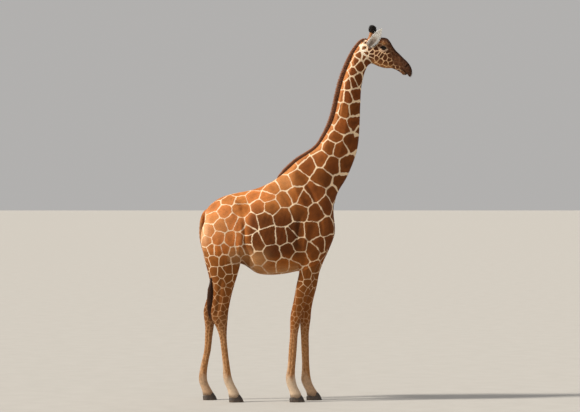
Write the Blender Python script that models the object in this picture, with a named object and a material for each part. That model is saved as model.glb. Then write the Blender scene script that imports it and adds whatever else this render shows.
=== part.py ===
"""Reticulated giraffe, one animal at life size, standing square on four hooves.

Metres, +Z up, the animal facing +X with its right side towards -Y.
The origin is the bottom centre of its box: the soles lie in Z = 0.

The side profile is laid out on a drawing grid of 12 mm (U): every station
below gives grid columns counted forward from the buttocks and grid rows
counted up from the floor.  Flesh is lofted from those stations, fused into
one closed body by a voxel remesh, relaxed where limbs join, shaped by a few
named swellings, thinned, and then parted by thin cuts into the pieces that
a person would name.
"""

import math

import bmesh
import bpy
import numpy as np
from mathutils import Matrix, Vector

# ------------------------------------------------------------ driving sizes
U = 0.012  # one grid square
MID_COLUMN = 107.08  # grid column that lies over the origin
VOXEL = 0.010  # grain of the fused body
BODY_TRIANGLES = 3450  # of the whole flesh before it is parted
CUT = 0.0006  # width of the cut between two named pieces
GAP = 0.0006  # clearance round an inset piece and over a hoof
HEAD_TURN = math.radians(8.0)  # the head looks a little to its right
EYE_RADIUS = 0.0265
EYE_COLUMN, EYE_ROW, EYE_OUT = 185.8, 352.3, 0.0705
HORN_COLUMN, HORN_ROW, HORN_OUT = 172.3, 361.6, 0.044
HORN_LENGTH = 0.160
EAR_LENGTH, EAR_WIDTH, EAR_THICK = 0.295, 0.130, 0.010
MANE_HALF_BASE, MANE_HALF_EDGE = 0.020, 0.009
TAIL_TASSEL_HALF = 0.036
HOOF_TOP = 0.068  # height of the coronet above the sole, at mid hoof
RELAX_ROUNDS = 18

# Hooves: heel column, toe column, side, distance from the mid plane.
HOOVES = [
    ("hoof_hind_right", 31.6, 46.0, -1, 0.165),
    ("hoof_hind_left", 4.6, 18.6, 1, 0.165),
    ("hoof_fore_right", 91.6, 106.8, -1, 0.150),
    ("hoof_fore_left", 108.6, 124.2, 1, 0.150),
]

# Trunk and neck, rump to poll: back line (column, row), belly and throat
# line (column, row), half width, fullness, narrowing towards the back line.
SPINE = [
    (7.5, 189.0, 5.5, 169.0, 0.090, 2.0, 0.00),
    (12.0, 196.0, 9.5, 155.0, 0.180, 2.1, 0.10),
    (20.0, 202.3, 19.0, 145.0, 0.240, 2.2, 0.16),
    (30.0, 206.3, 32.0, 140.0, 0.268, 2.2, 0.18),
    (42.0, 209.0, 46.0, 136.0, 0.285, 2.2, 0.18),
    (54.0, 211.4, 59.0, 127.7, 0.318, 2.2, 0.18),
    (66.0, 215.7, 72.0, 126.0, 0.335, 2.2, 0.20),
    (77.0, 221.7, 86.0, 127.0, 0.322, 2.2, 0.26),
    (87.0, 229.5, 99.0, 129.5, 0.292, 2.1, 0.34),
    (99.0, 240.5, 115.0, 132.0, 0.255, 2.0, 0.38),
    (108.0, 246.5, 128.0, 145.0, 0.228, 2.0, 0.34),
    (115.0, 251.0, 137.3, 166.0, 0.195, 2.0, 0.24),
    (121.0, 256.7, 136.0, 188.0, 0.160, 2.0, 0.14),
    (125.7, 264.0, 139.2, 206.5, 0.138, 2.0, 0.08),
    (129.3, 270.0, 148.2, 222.0, 0.123, 2.0, 0.04),
    (132.5, 276.0, 156.0, 240.0, 0.113, 2.0, 0.02),
    (135.3, 283.0, 160.3, 256.0, 0.105, 2.0, 0.02),
    (138.0, 293.0, 161.8, 275.0, 0.098, 2.0, 0.02),
    (140.8, 306.0, 162.5, 295.0, 0.092, 2.0, 0.02),
    (144.0, 319.0, 163.5, 313.0, 0.086, 2.0, 0.02),
    (148.0, 330.5, 166.0, 326.0, 0.083, 2.0, 0.02),
    (152.7, 342.0, 170.0, 335.2, 0.081, 2.0, 0.02),
    (158.0, 352.4, 175.0, 338.5, 0.078, 2.0, 0.00),
    (163.6, 359.4, 180.0, 345.0, 0.066, 2.0, 0.00),
]

# Head, poll to muzzle, in the same form.
HEAD = [
    (163.6, 359.6, 168.5, 339.0, 0.066, 2.1, 0.00),
    (169.8, 362.8, 175.0, 336.9, 0.080, 2.2, 0.00),
    (177.0, 363.5, 181.0, 334.2, 0.086, 2.3, 0.02),
    (183.2, 363.4, 187.0, 332.6, 0.087, 2.4, 0.06),
    (188.8, 362.4, 191.4, 332.5, 0.080, 2.4, 0.06),
    (192.2, 359.3, 194.4, 332.3, 0.070, 2.4, 0.02),
    (195.0, 354.5, 196.6, 331.7, 0.062, 2.4, -0.04),
    (198.3, 350.0, 199.3, 330.5, 0.055, 2.4, -0.06),
    (201.9, 346.6, 202.2, 329.3, 0.051, 2.4, -0.04),
    (205.5, 342.9, 205.1, 328.3, 0.049, 2.4, 0.00),
    (209.6, 338.9, 208.1, 327.3, 0.050, 2.4, 0.04),
    (212.8, 334.5, 210.5, 325.5, 0.050, 2.3, 0.06),
    (214.3, 329.8, 211.4, 323.9, 0.046, 2.2, 0.04),
    (214.0, 326.4, 212.4, 323.5, 0.032, 2.1, 0.00),
]

# Lower lip and chin, below the mouth.
CHIN = [
    (193.5, 338.5, 194.0, 332.4, 0.040, 2.2, 0.0),
    (198.5, 336.0, 199.2, 330.2, 0.043, 2.2, 0.0),
    (203.2, 332.4, 203.4, 327.4, 0.041, 2.2, 0.0),
    (206.4, 330.0, 206.6, 325.6, 0.037, 2.2, 0.0),
    (208.6, 328.0, 208.8, 326.0, 0.022, 2.0, 0.0),
]

# Legs, top to coronet: column of the back edge, of the front edge, row,
# distance of the leg's middle from the mid plane, half width.
HIND_RIGHT = [
    (15.0, 37.0, 193.0, 0.105, 0.050),
    (6.0, 44.0, 178.0, 0.148, 0.104),
    (3.0, 45.6, 162.0, 0.170, 0.130),
    (6.0, 45.0, 149.0, 0.180, 0.122),
    (9.6, 43.2, 138.0, 0.186, 0.104),
    (12.2, 40.4, 127.5, 0.186, 0.087),
    (15.4, 37.6, 118.5, 0.182, 0.071),
    (15.5, 34.5, 107.5, 0.176, 0.058),
    (14.4, 32.4, 97.7, 0.170, 0.052),
    (12.9, 30.9, 88.8, 0.166, 0.051),
    (14.4, 30.4, 81.8, 0.164, 0.049),
    (18.4, 29.7, 74.0, 0.162, 0.043),
    (21.7, 29.4, 64.0, 0.161, 0.036),
    (23.6, 30.6, 50.0, 0.160, 0.033),
    (24.9, 32.4, 36.0, 0.160, 0.036),
    (25.4, 34.2, 25.2, 0.160, 0.044),
    (27.0, 36.8, 18.3, 0.161, 0.044),
    (29.6, 40.0, 12.3, 0.163, 0.046),
    (31.0, 42.4, 6.6, 0.165, 0.052),
    (31.8, 43.4, 3.0, 0.165, 0.050),
]
HIND_LEFT = [
    (15.0, 37.0, 193.0, 0.105, 0.050),
    (5.6, 43.4, 178.0, 0.148, 0.104),
    (2.6, 43.0, 162.0, 0.170, 0.130),
    (4.0, 41.0, 149.0, 0.180, 0.122),
    (6.4, 38.5, 138.0, 0.186, 0.104),
    (9.4, 34.8, 127.0, 0.186, 0.087),
    (10.8, 30.8, 118.0, 0.182, 0.071),
    (9.4, 25.8, 106.3, 0.176, 0.058),
    (6.6, 22.2, 97.3, 0.170, 0.052),
    (4.8, 19.2, 89.2, 0.166, 0.051),
    (5.3, 17.3, 82.2, 0.164, 0.049),
    (6.4, 15.6, 73.1, 0.162, 0.043),
    (6.2, 14.2, 63.0, 0.161, 0.036),
    (5.4, 12.7, 50.0, 0.160, 0.033),
    (2.7, 10.2, 38.0, 0.160, 0.035),
    (0.8, 8.8, 28.0, 0.160, 0.042),
    (0.2, 9.1, 19.8, 0.161, 0.045),
    (1.8, 11.4, 13.8, 0.163, 0.045),
    (3.8, 14.6, 8.0, 0.165, 0.050),
    (4.8, 16.0, 3.4, 0.165, 0.050),
]
FORE_RIGHT = [
    (97.0, 122.0, 214.0, 0.110, 0.050),
    (94.0, 130.0, 198.0, 0.140, 0.068),
    (93.0, 135.6, 180.0, 0.165, 0.080),
    (95.0, 135.0, 164.0, 0.178, 0.086),
    (98.0, 129.0, 151.5, 0.182, 0.085),
    (100.3, 122.0, 140.0, 0.180, 0.080),
    (100.8, 117.0, 129.5, 0.174, 0.072),
    (98.2, 113.8, 116.6, 0.166, 0.064),
    (95.5, 109.4, 101.7, 0.158, 0.056),
    (93.3, 105.8, 91.8, 0.154, 0.051),
    (92.0, 103.5, 83.8, 0.152, 0.054),
    (91.8, 101.8, 75.9, 0.151, 0.049),
    (91.7, 100.0, 67.0, 0.150, 0.040),
    (90.5, 99.0, 52.0, 0.149, 0.036),
    (89.5, 97.7, 37.0, 0.148, 0.037),
    (88.2, 97.2, 28.2, 0.148, 0.042),
    (87.8, 97.8, 22.3, 0.148, 0.047),
    (89.0, 99.4, 16.3, 0.149, 0.045),
    (91.0, 102.0, 11.0, 0.150, 0.047),
    (92.0, 103.8, 6.6, 0.150, 0.053),
    (92.4, 104.6, 3.0, 0.150, 0.051),
]
FORE_LEFT = [
    (97.0, 122.0, 214.0, 0.110, 0.050),
    (94.0, 130.0, 198.0, 0.140, 0.068),
    (94.0, 136.4, 180.0, 0.165, 0.080),
    (97.0, 136.2, 164.0, 0.178, 0.086),
    (101.5, 131.6, 151.0, 0.182, 0.085),
    (104.2, 126.0, 139.0, 0.180, 0.080),
    (105.0, 122.0, 128.5, 0.174, 0.072),
    (104.0, 119.4, 115.3, 0.166, 0.064),
    (102.0, 115.6, 100.3, 0.158, 0.056),
    (101.4, 113.7, 90.2, 0.154, 0.051),
    (101.8, 113.1, 82.2, 0.152, 0.054),
    (102.0, 112.0, 74.2, 0.151, 0.049),
    (102.6, 111.2, 65.0, 0.150, 0.040),
    (103.2, 111.4, 50.0, 0.149, 0.036),
    (103.7, 111.6, 38.0, 0.148, 0.037),
    (103.6, 112.3, 28.0, 0.148, 0.042),
    (103.0, 113.4, 20.9, 0.148, 0.047),
    (104.8, 115.6, 14.7, 0.149, 0.045),
    (107.6, 118.8, 9.4, 0.150, 0.048),
    (109.2, 121.2, 4.6, 0.150, 0.053),
    (109.6, 121.8, 2.0, 0.150, 0.051),
]

# Tail: column and row of its middle, its radius.  It lies in the cleft of
# the buttocks and hangs between the hind legs.
TAIL = [
    (12.4, 188.6, 0.034),
    (8.2, 186.6, 0.036),
    (5.2, 181.2, 0.036),
    (3.9, 173.0, 0.033),
    (3.7, 164.0, 0.029),
    (5.4, 154.0, 0.025),
    (8.6, 144.0, 0.021),
    (11.4, 135.0, 0.018),
    (12.9, 127.0, 0.016),
    (13.0, 120.0, 0.014),
]
TASSEL = [
    (12.9, 118.6, 0.018),
    (12.4, 112.0, 0.030),
    (12.1, 104.0, TAIL_TASSEL_HALF),
    (12.0, 96.0, TAIL_TASSEL_HALF * 0.97),
    (12.0, 89.0, TAIL_TASSEL_HALF * 0.80),
    (12.0, 83.5, TAIL_TASSEL_HALF * 0.50),
    (12.0, 80.5, TAIL_TASSEL_HALF * 0.22),
]

# Mane: column and row of its foot on the crest, height of its brush in
# grid squares.
MANE = [
    (79.5, 223.6, 0.5),
    (83.5, 226.4, 2.3),
    (89.0, 231.4, 3.5),
    (99.0, 240.5, 3.3),
    (108.0, 246.5, 2.9),
    (115.0, 251.0, 2.9),
    (121.0, 256.7, 3.1),
    (125.7, 264.0, 3.5),
    (129.3, 270.0, 4.0),
    (132.5, 276.0, 4.6),
    (135.3, 283.0, 4.9),
    (138.0, 293.0, 5.0),
    (140.8, 306.0, 5.0),
    (144.0, 319.0, 4.9),
    (148.0, 330.6, 4.8),
    (152.7, 342.0, 4.4),
    (158.0, 352.4, 3.7),
    (163.6, 359.4, 3.0),
    (168.2, 362.2, 1.1),
]

# Swellings and hollows of the hide: column, distance from the mid plane,
# row, reach along X, Y and Z in grid squares, height in metres (outwards).
# Each is made on both sides.
FORMS = [
    # hip bone, stifle, haunch, loin hollow, flank hollow
    (38.0, 0.200, 198.0, 5.0, 8.0, 4.0, 0.020),
    (41.0, 0.250, 152.0, 6.0, 9.0, 9.0, 0.014),
    (20.0, 0.260, 172.0, 12.0, 9.0, 16.0, 0.012),
    (48.0, 0.260, 190.0, 6.0, 9.0, 9.0, -0.020),
    (50.0, 0.240, 150.0, 5.0, 9.0, 9.0, -0.020),
    # withers blade, point of shoulder, upper arm, girth behind the elbow
    (97.0, 0.130, 222.0, 6.0, 9.0, 12.0, 0.010),
    (131.0, 0.150, 170.0, 6.0, 9.0, 6.0, 0.016),
    (108.0, 0.230, 160.0, 9.0, 9.0, 10.0, 0.010),
    (92.0, 0.240, 146.0, 5.0, 9.0, 9.0, -0.014),
    (118.0, 0.180, 205.0, 7.0, 9.0, 9.0, -0.012),
]


# ------------------------------------------------------------ small helpers
def at(column, row, out=0.0):
    """A point of the drawing grid in metres."""
    return Vector(((column - MID_COLUMN) * U, out, row * U))


def spline(rows, per_span):
    """Catmull-Rom curve through every column of a station table."""
    a = np.array(rows, float)
    padded = np.vstack([2 * a[0] - a[1], a, 2 * a[-1] - a[-2]])
    out = []
    for i in range(len(a) - 1):
        p0, p1, p2, p3 = padded[i : i + 4]
        for k in range(per_span):
            t = k / per_span
            out.append(0.5 * (2 * p1 + (p2 - p0) * t + (2 * p0 - 5 * p1 + 4 * p2 - p3) * t * t + (3 * p1 - p0 - 3 * p2 + p3) * t**3))
    out.append(a[-1])
    return np.array(out)


def oval(centre, up, across, half_up, half_across, fullness, narrowing, count):
    """Points of one superellipse ring, narrower towards its upper end."""
    ring = []
    for i in range(count):
        angle = 2 * math.pi * (i + 0.5) / count
        c, s = math.cos(angle), math.sin(angle)
        t = math.copysign(abs(c) ** (2 / fullness), c)
        w = math.copysign(abs(s) ** (2 / fullness), s)
        ring.append(centre + up * (half_up * t) + across * (half_across * w * (1 - narrowing * t)))
    return ring


def loft(bm, rings):
    """Bridges rings into one closed skin with a domed cap at each end."""
    loops = []
    for ring in rings:
        verts = [bm.verts.new(p) for p in ring]
        loops.append([bm.edges.new((verts[i], verts[i - 1])) for i in range(len(verts))])
    for first, second in zip(loops, loops[1:]):
        bmesh.ops.bridge_loops(bm, edges=first + second)
    for loop in (loops[0], loops[-1]):
        bmesh.ops.contextual_create(bm, geom=loop)


def profile_rings(rows, per_span, count):
    """Rings of the trunk, neck and head from their two outlines."""
    rings = []
    for xt, zt, xb, zb, half, full, narrow in spline(rows, per_span):
        top, bottom = at(xt, zt), at(xb, zb)
        up = top - bottom
        rings.append(oval((top + bottom) / 2, up.normalized(), Vector((0, 1, 0)), up.length / 2, max(half, 0.004), full, narrow, count))
    return rings


def leg_rings(rows, side, per_span, count):
    """Level rings of a leg: front and back edge, and half width."""
    rings = []
    for back, front, row, out, half in spline(rows, per_span):
        a, b = at(back, row, side * out), at(front, row, side * out)
        rings.append(oval((a + b) / 2, Vector((1, 0, 0)), Vector((0, 1, 0)), (b - a).length / 2, half, 2.15, 0.0, count))
    return rings


def tube_rings(rows, per_span, count, flat=1.0, grow=0.0):
    """Rings of a hanging tube square to its own line."""
    points = spline(rows, per_span)
    points[:, 2] += grow
    rings = []
    for i, (column, row, radius) in enumerate(points):
        before, after = points[max(i - 1, 0)], points[min(i + 1, len(points) - 1)]
        along = (at(after[0], after[1]) - at(before[0], before[1])).normalized()
        side = Vector((0, 1, 0))
        centre = at(column, row)
        if i in (0, len(points) - 1):
            centre += along * (grow if i else -grow)
        rings.append(oval(centre, along.cross(side).normalized(), side, radius, radius * flat, 2.0, 0.0, count))
    return rings


def ear_frame(side):
    """Root, long axis, width axis and opening axis of an ear."""
    root = at(172.6, 356.6, side * 0.086)
    if side < 0:
        along = Vector((0.62, side * 0.36, 0.70)).normalized()
        opening = Vector((0.34, side * 0.90, -0.10))
    else:
        along = Vector((0.26, side * 0.78, 0.52)).normalized()
        opening = Vector((0.80, side * 0.52, -0.16))
    opening = (opening - along * opening.dot(along)).normalized()
    return root, along, along.cross(opening).normalized(), opening


def ear_half(u):
    """Half width of the ear against the share of its length."""
    if u < 0.42:
        return EAR_WIDTH / 2 * (0.42 + 0.58 * math.sin(math.pi / 2 * u / 0.42))
    return EAR_WIDTH / 2 * max(math.cos(math.pi / 2 * ((u - 0.42) / 0.58) ** 1.25), 0.0) ** 0.8


def ear(bm, side, grow=0.0, steps=9, count=7):
    """A cupped leaf of even thickness, closed round its rim."""
    root, along, wide, opening = ear_frame(side)
    sheets = []
    for layer in (0.5, -0.5):
        rows = []
        for i in range(steps + 1):
            u = i / steps
            base = max(ear_half(u), 0.006)
            half = base + grow
            thick = EAR_THICK * (1.2 - 0.5 * u) + 2 * grow
            reach = EAR_LENGTH * u - 0.040 + grow * (2 * u - 1)
            rows.append([
                root
                + along * reach
                + wide * (half * v)
                + opening * (0.80 * (half * v) ** 2 / base * (1 - 0.45 * u) + layer * thick - 0.022 * math.sin(math.pi * u))
                for v in (-math.cos(math.pi * k / (count - 1)) for k in range(count))
            ])
        sheets.append([[bm.verts.new(p) for p in row] for row in rows])
    front, back = sheets
    for i in range(steps):
        for k in range(count - 1):
            bm.faces.new((front[i][k], front[i][k + 1], front[i + 1][k + 1], front[i + 1][k]))
            bm.faces.new((back[i][k + 1], back[i][k], back[i + 1][k], back[i + 1][k + 1]))
        bm.faces.new((front[i][0], front[i + 1][0], back[i + 1][0], back[i][0]))
        bm.faces.new((front[i + 1][-1], front[i][-1], back[i][-1], back[i + 1][-1]))
    for k in range(count - 1):
        bm.faces.new((front[0][k + 1], front[0][k], back[0][k], back[0][k + 1]))
        bm.faces.new((front[-1][k], front[-1][k + 1], back[-1][k + 1], back[-1][k]))


def horn_frame(side):
    root = at(HORN_COLUMN, HORN_ROW, side * HORN_OUT)
    return root, Vector((0.22, side * 0.13, 1.0)).normalized()


def horn(bm, side, grow=0.0):
    """An ossicone: a tapering shaft with a tufted knob at its end."""
    root, along = horn_frame(side)
    fore = Vector((1, 0, 0))
    across = along.cross(fore).normalized()
    fore = across.cross(along).normalized()
    rings = []
    for share, radius in ((-0.20, 0.030), (0.0, 0.028), (0.22, 0.022), (0.40, 0.020), (0.52, 0.029), (0.66, 0.036), (0.82, 0.034), (0.94, 0.022), (1.0, 0.008)):
        rings.append(oval(root + along * (HORN_LENGTH * share - (grow if share < 0 else 0)), fore, across, radius + grow, radius + grow, 2.0, 0.0, 12))
    loft(bm, rings)


def mane_rings(grow=0.0, count=8, per_span=2, sink=0.030):
    """Upright brush along the crest, its foot sunk in the neck."""
    line = spline(MANE, per_span)
    rings = []
    for i, (column, row, height) in enumerate(line):
        ahead, behind = line[min(i + 1, len(line) - 1)], line[max(i - 1, 0)]
        along = (at(ahead[0], ahead[1]) - at(behind[0], behind[1])).normalized()
        up = Vector((-along.z, 0, along.x))
        foot = at(column, row) - up * (sink + grow)
        if i in (0, len(line) - 1):
            foot += along * (grow if i else -grow)
        tip = height * U + sink + 2 * grow
        ring = []
        for k in range(count):
            angle = 2 * math.pi * (k + 0.5) / count
            t = 0.5 + 0.5 * math.cos(angle)
            half = (MANE_HALF_BASE + (MANE_HALF_EDGE - MANE_HALF_BASE) * t) * 1.15 + grow
            ring.append(foot + up * (tip * t) + Vector((0, half * math.sin(angle), 0)))
        rings.append(ring)
    return rings


# ------------------------------------------------------------ shaping
def smooth_step(x):
    x = np.clip(x, 0, 1)
    return x * x * (3 - 2 * x)


def relax(points, ends, weight, rounds):
    """Laplacian smoothing, vertex by vertex weight."""
    a, b = ends[:, 0], ends[:, 1]
    degree = np.bincount(np.concatenate([a, b]), minlength=len(points)).astype(float)
    for _ in range(rounds):
        mean = np.stack([
            (np.bincount(a, points[b, k], len(points)) + np.bincount(b, points[a, k], len(points))) / degree
            for k in range(3)
        ], axis=1)
        points = points + (mean - points) * weight[:, None]
    return points


def junction_weight(points):
    """How strongly the hide is relaxed: most where limbs and neck join."""
    c = points[:, 0] / U + MID_COLUMN
    y = np.abs(points[:, 1])
    r = points[:, 2] / U

    def ball(column, out, row, across, aside, high):
        d = ((c - column) / across) ** 2 + ((y - out) / aside) ** 2 + ((r - row) / high) ** 2
        return np.exp(-d)

    weight = 0.55 * ball(44, 0.15, 160, 16, 0.30, 24)
    weight += 0.60 * ball(22, 0.12, 192, 26, 0.40, 22)
    weight += 0.55 * ball(6, 0.06, 160, 9, 0.09, 26)
    weight += 0.60 * ball(100, 0.15, 150, 22, 0.30, 20)
    weight += 0.60 * ball(112, 0.15, 215, 26, 0.40, 34)
    weight += 0.60 * ball(130, 0.12, 170, 16, 0.30, 26)
    weight += 0.60 * ball(20, 0.05, 140, 30, 0.12, 12)
    weight += 0.35 * ball(170, 0.06, 350, 8, 0.10, 14)
    weight += 0.25 * ball(173, 0.045, 362, 5, 0.04, 5)
    weight += 0.10
    return np.clip(weight, 0, 0.62)


def shape_forms(points, normals):
    """Adds the named swellings and hollows along the surface normal."""
    c = points[:, 0] / U + MID_COLUMN
    y = np.abs(points[:, 1])
    r = points[:, 2] / U
    lift = np.zeros(len(points))
    for column, out, row, across, aside, high, height in FORMS:
        d = ((c - column) / across) ** 2 + ((y - out) / (aside * U)) ** 2 + ((r - row) / high) ** 2
        lift += height * np.exp(-d)
    # the hollow of the lower thigh between the shin and the heel tendon
    for side, rows in ((-1, HIND_RIGHT), (1, HIND_LEFT)):
        for back, front, row, out, half in spline(rows[6:10], 3):
            column = back + 0.36 * (front - back)
            d = ((c - column) / 2.2) ** 2 + ((r - row) / 3.0) ** 2
            lift -= 0.0075 * np.exp(-d) * (points[:, 1] * side > 0.06)
    return points + normals * lift[:, None]


def turn_head(points):
    """The head looks a little to its right: a yaw eased in at the poll."""
    pivot = at(168.0, 343.0)
    along = ((points[:, 0] - pivot.x) + (points[:, 2] - pivot.z)) / math.sqrt(2)
    share = smooth_step((along + 14 * U) / (16 * U)) * (points[:, 2] > 3.0)
    angle = -HEAD_TURN * share
    x = points[:, 0] - pivot.x
    y = points[:, 1]
    turned = points.copy()
    turned[:, 0] = pivot.x + x * np.cos(angle) - y * np.sin(angle)
    turned[:, 1] = x * np.sin(angle) + y * np.cos(angle)
    return turned


def eye_centre(side):
    p = at(EYE_COLUMN, EYE_ROW, side * EYE_OUT)
    return Vector(turn_head(np.array([p]))[0])


# ------------------------------------------------------------ mesh and node tools
def new_object(name, bm, hide=False):
    mesh = bpy.data.meshes.new(name)
    bm.to_mesh(mesh)
    bm.free()
    obj = bpy.data.objects.new(name, mesh)
    bpy.context.scene.collection.objects.link(obj)
    if hide:
        obj.hide_render = True
        obj.display_type = "WIRE"
    return obj


def evaluated_bmesh(obj):
    graph = bpy.context.evaluated_depsgraph_get()
    bm = bmesh.new()
    bm.from_object(obj, graph)
    return bm


def baked(obj, name):
    """A new object from obj with its modifiers applied; obj is removed."""
    bm = evaluated_bmesh(obj)
    bmesh.ops.transform(bm, matrix=obj.matrix_world, verts=bm.verts)
    bpy.data.objects.remove(obj, do_unlink=True)
    return new_object(name, bm)


def coordinates(mesh):
    points = np.empty(len(mesh.vertices) * 3)
    mesh.vertices.foreach_get("co", points)
    normals = np.empty(len(mesh.vertices) * 3)
    mesh.vertices.foreach_get("normal", normals)
    ends = np.empty(len(mesh.edges) * 2, int)
    mesh.edges.foreach_get("vertices", ends)
    return points.reshape(-1, 3), normals.reshape(-1, 3), ends.reshape(-1, 2)


def slab(name, centre, normal, half_long, half_wide, long_axis):
    """A thin plate that parts the flesh where it lies."""
    normal = Vector(normal).normalized()
    long_axis = Vector(long_axis)
    long_axis = (long_axis - normal * long_axis.dot(normal)).normalized()
    wide_axis = normal.cross(long_axis)
    bm = bmesh.new()
    bmesh.ops.create_cube(bm, size=1.0)
    bmesh.ops.scale(bm, vec=(2 * half_long, 2 * half_wide, CUT), verts=bm.verts)
    turn = Matrix((long_axis, wide_axis, normal)).transposed().to_4x4()
    bmesh.ops.transform(bm, matrix=Matrix.Translation(centre) @ turn, verts=bm.verts)
    bmesh.ops.recalc_face_normals(bm, faces=bm.faces)
    return new_object(name, bm, hide=True)


def cut(obj, cutter, operation="DIFFERENCE"):
    modifier = obj.modifiers.new("cut_" + cutter.name, "BOOLEAN")
    modifier.operation = operation
    modifier.solver = "EXACT"
    modifier.object = cutter


def material(name, colour, roughness, metallic=0.0):
    mat = bpy.data.materials.new(name)
    mat.use_nodes = True
    shader = mat.node_tree.nodes["Principled BSDF"]
    shader.inputs["Base Color"].default_value = (*colour, 1)
    shader.inputs["Roughness"].default_value = roughness
    shader.inputs["Metallic"].default_value = metallic
    mat.diffuse_color = (*colour, 1)
    return mat


# ------------------------------------------------------------ the hooves
def hoof(name, heel, toe, side, out, slant=0.30):
    """One cloven hoof: two claws with flat soles, joined high at the back."""
    length = (toe - heel) * U
    centre = at((toe + heel) / 2, 0, side * out)
    rings = []
    for height, grow, shift in ((0.0, 1.0, 0.0), (0.010, 1.0, -0.001), (0.035, 0.93, -0.008), (0.060, 0.83, -0.018), (0.100, 0.72, -0.030)):
        middle = centre + Vector((shift, 0, height))
        rings.append(oval(middle, Vector((1, 0, 0)), Vector((0, 1, 0)), length / 2 * grow, 0.058 * grow, 2.3, 0.10, 24))
    bm = bmesh.new()
    loft(bm, rings)
    bmesh.ops.recalc_face_normals(bm, faces=bm.faces)
    block = new_object(name, bm)
    cleft = bmesh.new()
    bmesh.ops.create_cube(cleft, size=1.0)
    bmesh.ops.scale(cleft, vec=(length, 0.007, 0.16), verts=cleft.verts)
    bmesh.ops.rotate(cleft, matrix=Matrix.Rotation(math.radians(-28), 3, "Y"), verts=cleft.verts)
    bmesh.ops.translate(cleft, vec=centre + Vector((length * 0.36, 0, -0.006)), verts=cleft.verts)
    cleft_object = new_object(name + "_cleft", cleft, hide=True)
    cut(block, cleft_object)
    above = bmesh.new()
    bmesh.ops.create_cube(above, size=1.0)
    bmesh.ops.scale(above, vec=(0.5, 0.3, 0.2), verts=above.verts)
    bmesh.ops.translate(above, vec=(0, 0, 0.1 - GAP / 2), verts=above.verts)
    bmesh.ops.rotate(above, matrix=Matrix.Rotation(math.atan(-slant), 3, "Y"), verts=above.verts)
    bmesh.ops.translate(above, vec=centre + Vector((-0.01, 0, HOOF_TOP)), verts=above.verts)
    above_object = new_object(name + "_above", above, hide=True)
    cut(block, above_object)
    below = bmesh.new()
    bmesh.ops.create_cube(below, size=1.0)
    bmesh.ops.scale(below, vec=(0.30, 0.18, 0.12), verts=below.verts)
    bmesh.ops.translate(below, vec=(0, 0, -0.06 + GAP / 2), verts=below.verts)
    bmesh.ops.rotate(below, matrix=Matrix.Rotation(math.atan(-slant), 3, "Y"), verts=below.verts)
    bmesh.ops.translate(below, vec=centre + Vector((-0.01, 0, HOOF_TOP)), verts=below.verts)
    return block, new_object(name + "_below", below, hide=True)


# ------------------------------------------------------------ build
def fused_flesh():
    """Trunk, neck, head and legs as one relaxed, thinned body."""
    bm = bmesh.new()
    loft(bm, profile_rings(SPINE, 3, 32))
    loft(bm, profile_rings(HEAD, 3, 28))
    loft(bm, profile_rings(CHIN, 3, 20))
    for side, fore, hind in ((-1, FORE_RIGHT, HIND_RIGHT), (1, FORE_LEFT, HIND_LEFT)):
        loft(bm, leg_rings(fore, side, 3, 24))
        loft(bm, leg_rings(hind, side, 3, 24))
    bmesh.ops.recalc_face_normals(bm, faces=bm.faces)
    flesh = new_object("flesh", bm)
    remesh = flesh.modifiers.new("fuse", "REMESH")
    remesh.mode = "VOXEL"
    remesh.voxel_size = VOXEL
    flesh = baked(flesh, "flesh")

    points, normals, ends = coordinates(flesh.data)
    points = relax(points, ends, junction_weight(points), RELAX_ROUNDS)
    flesh.data.vertices.foreach_set("co", points.ravel())
    flesh.data.update()
    points, normals, ends = coordinates(flesh.data)
    points = turn_head(shape_forms(points, normals))
    flesh.data.vertices.foreach_set("co", points.ravel())
    flesh.data.update()
    thin = flesh.modifiers.new("thin", "DECIMATE")
    flesh.data.calc_loop_triangles()
    thin.ratio = BODY_TRIANGLES / len(flesh.data.loop_triangles)
    thin.use_collapse_triangulate = True
    return baked(flesh, "flesh")


def piece(name, build, hide=False, turned=True):
    """A solid of its own from a function that fills a mesh."""
    bm = bmesh.new()
    build(bm)
    bmesh.ops.recalc_face_normals(bm, faces=bm.faces)
    if turned:
        points = turn_head(np.array([v.co[:] for v in bm.verts]))
        for vert, point in zip(bm.verts, points):
            vert.co = point
    return new_object(name, bm, hide)


def ball(bm, side, radius):
    bmesh.ops.create_icosphere(bm, subdivisions=3, radius=radius, matrix=Matrix.Translation(eye_centre(side)))


def inset_pieces(flesh):
    """Pieces that sit in pockets of the flesh: each pocket is the piece and a hair more."""
    for side, word in ((-1, "right"), (1, "left")):
        piece("ear_" + word, lambda bm: ear(bm, side))
        cut(flesh, piece("ear_pocket_" + word, lambda bm: ear(bm, side, 2.5 * GAP), hide=True))
        piece("ossicone_" + word, lambda bm: horn(bm, side))
        cut(flesh, piece("ossicone_pocket_" + word, lambda bm: horn(bm, side, 1.5 * GAP), hide=True))
        piece("eye_" + word, lambda bm: ball(bm, side, EYE_RADIUS), turned=False)
        cut(flesh, piece("eye_socket_" + word, lambda bm: ball(bm, side, EYE_RADIUS + GAP), hide=True, turned=False))
    piece("mane", lambda bm: loft(bm, mane_rings()))
    cut(flesh, piece("mane_groove", lambda bm: loft(bm, mane_rings(4 * GAP)), hide=True))
    piece("tail", lambda bm: loft(bm, tube_rings(TAIL, 2, 8)))
    cut(flesh, piece("tail_groove", lambda bm: loft(bm, tube_rings(TAIL, 2, 8, grow=2.5 * GAP)), hide=True))
    piece("tail_tassel", lambda bm: loft(bm, tube_rings(TASSEL, 2, 10, 0.9)))


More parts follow.
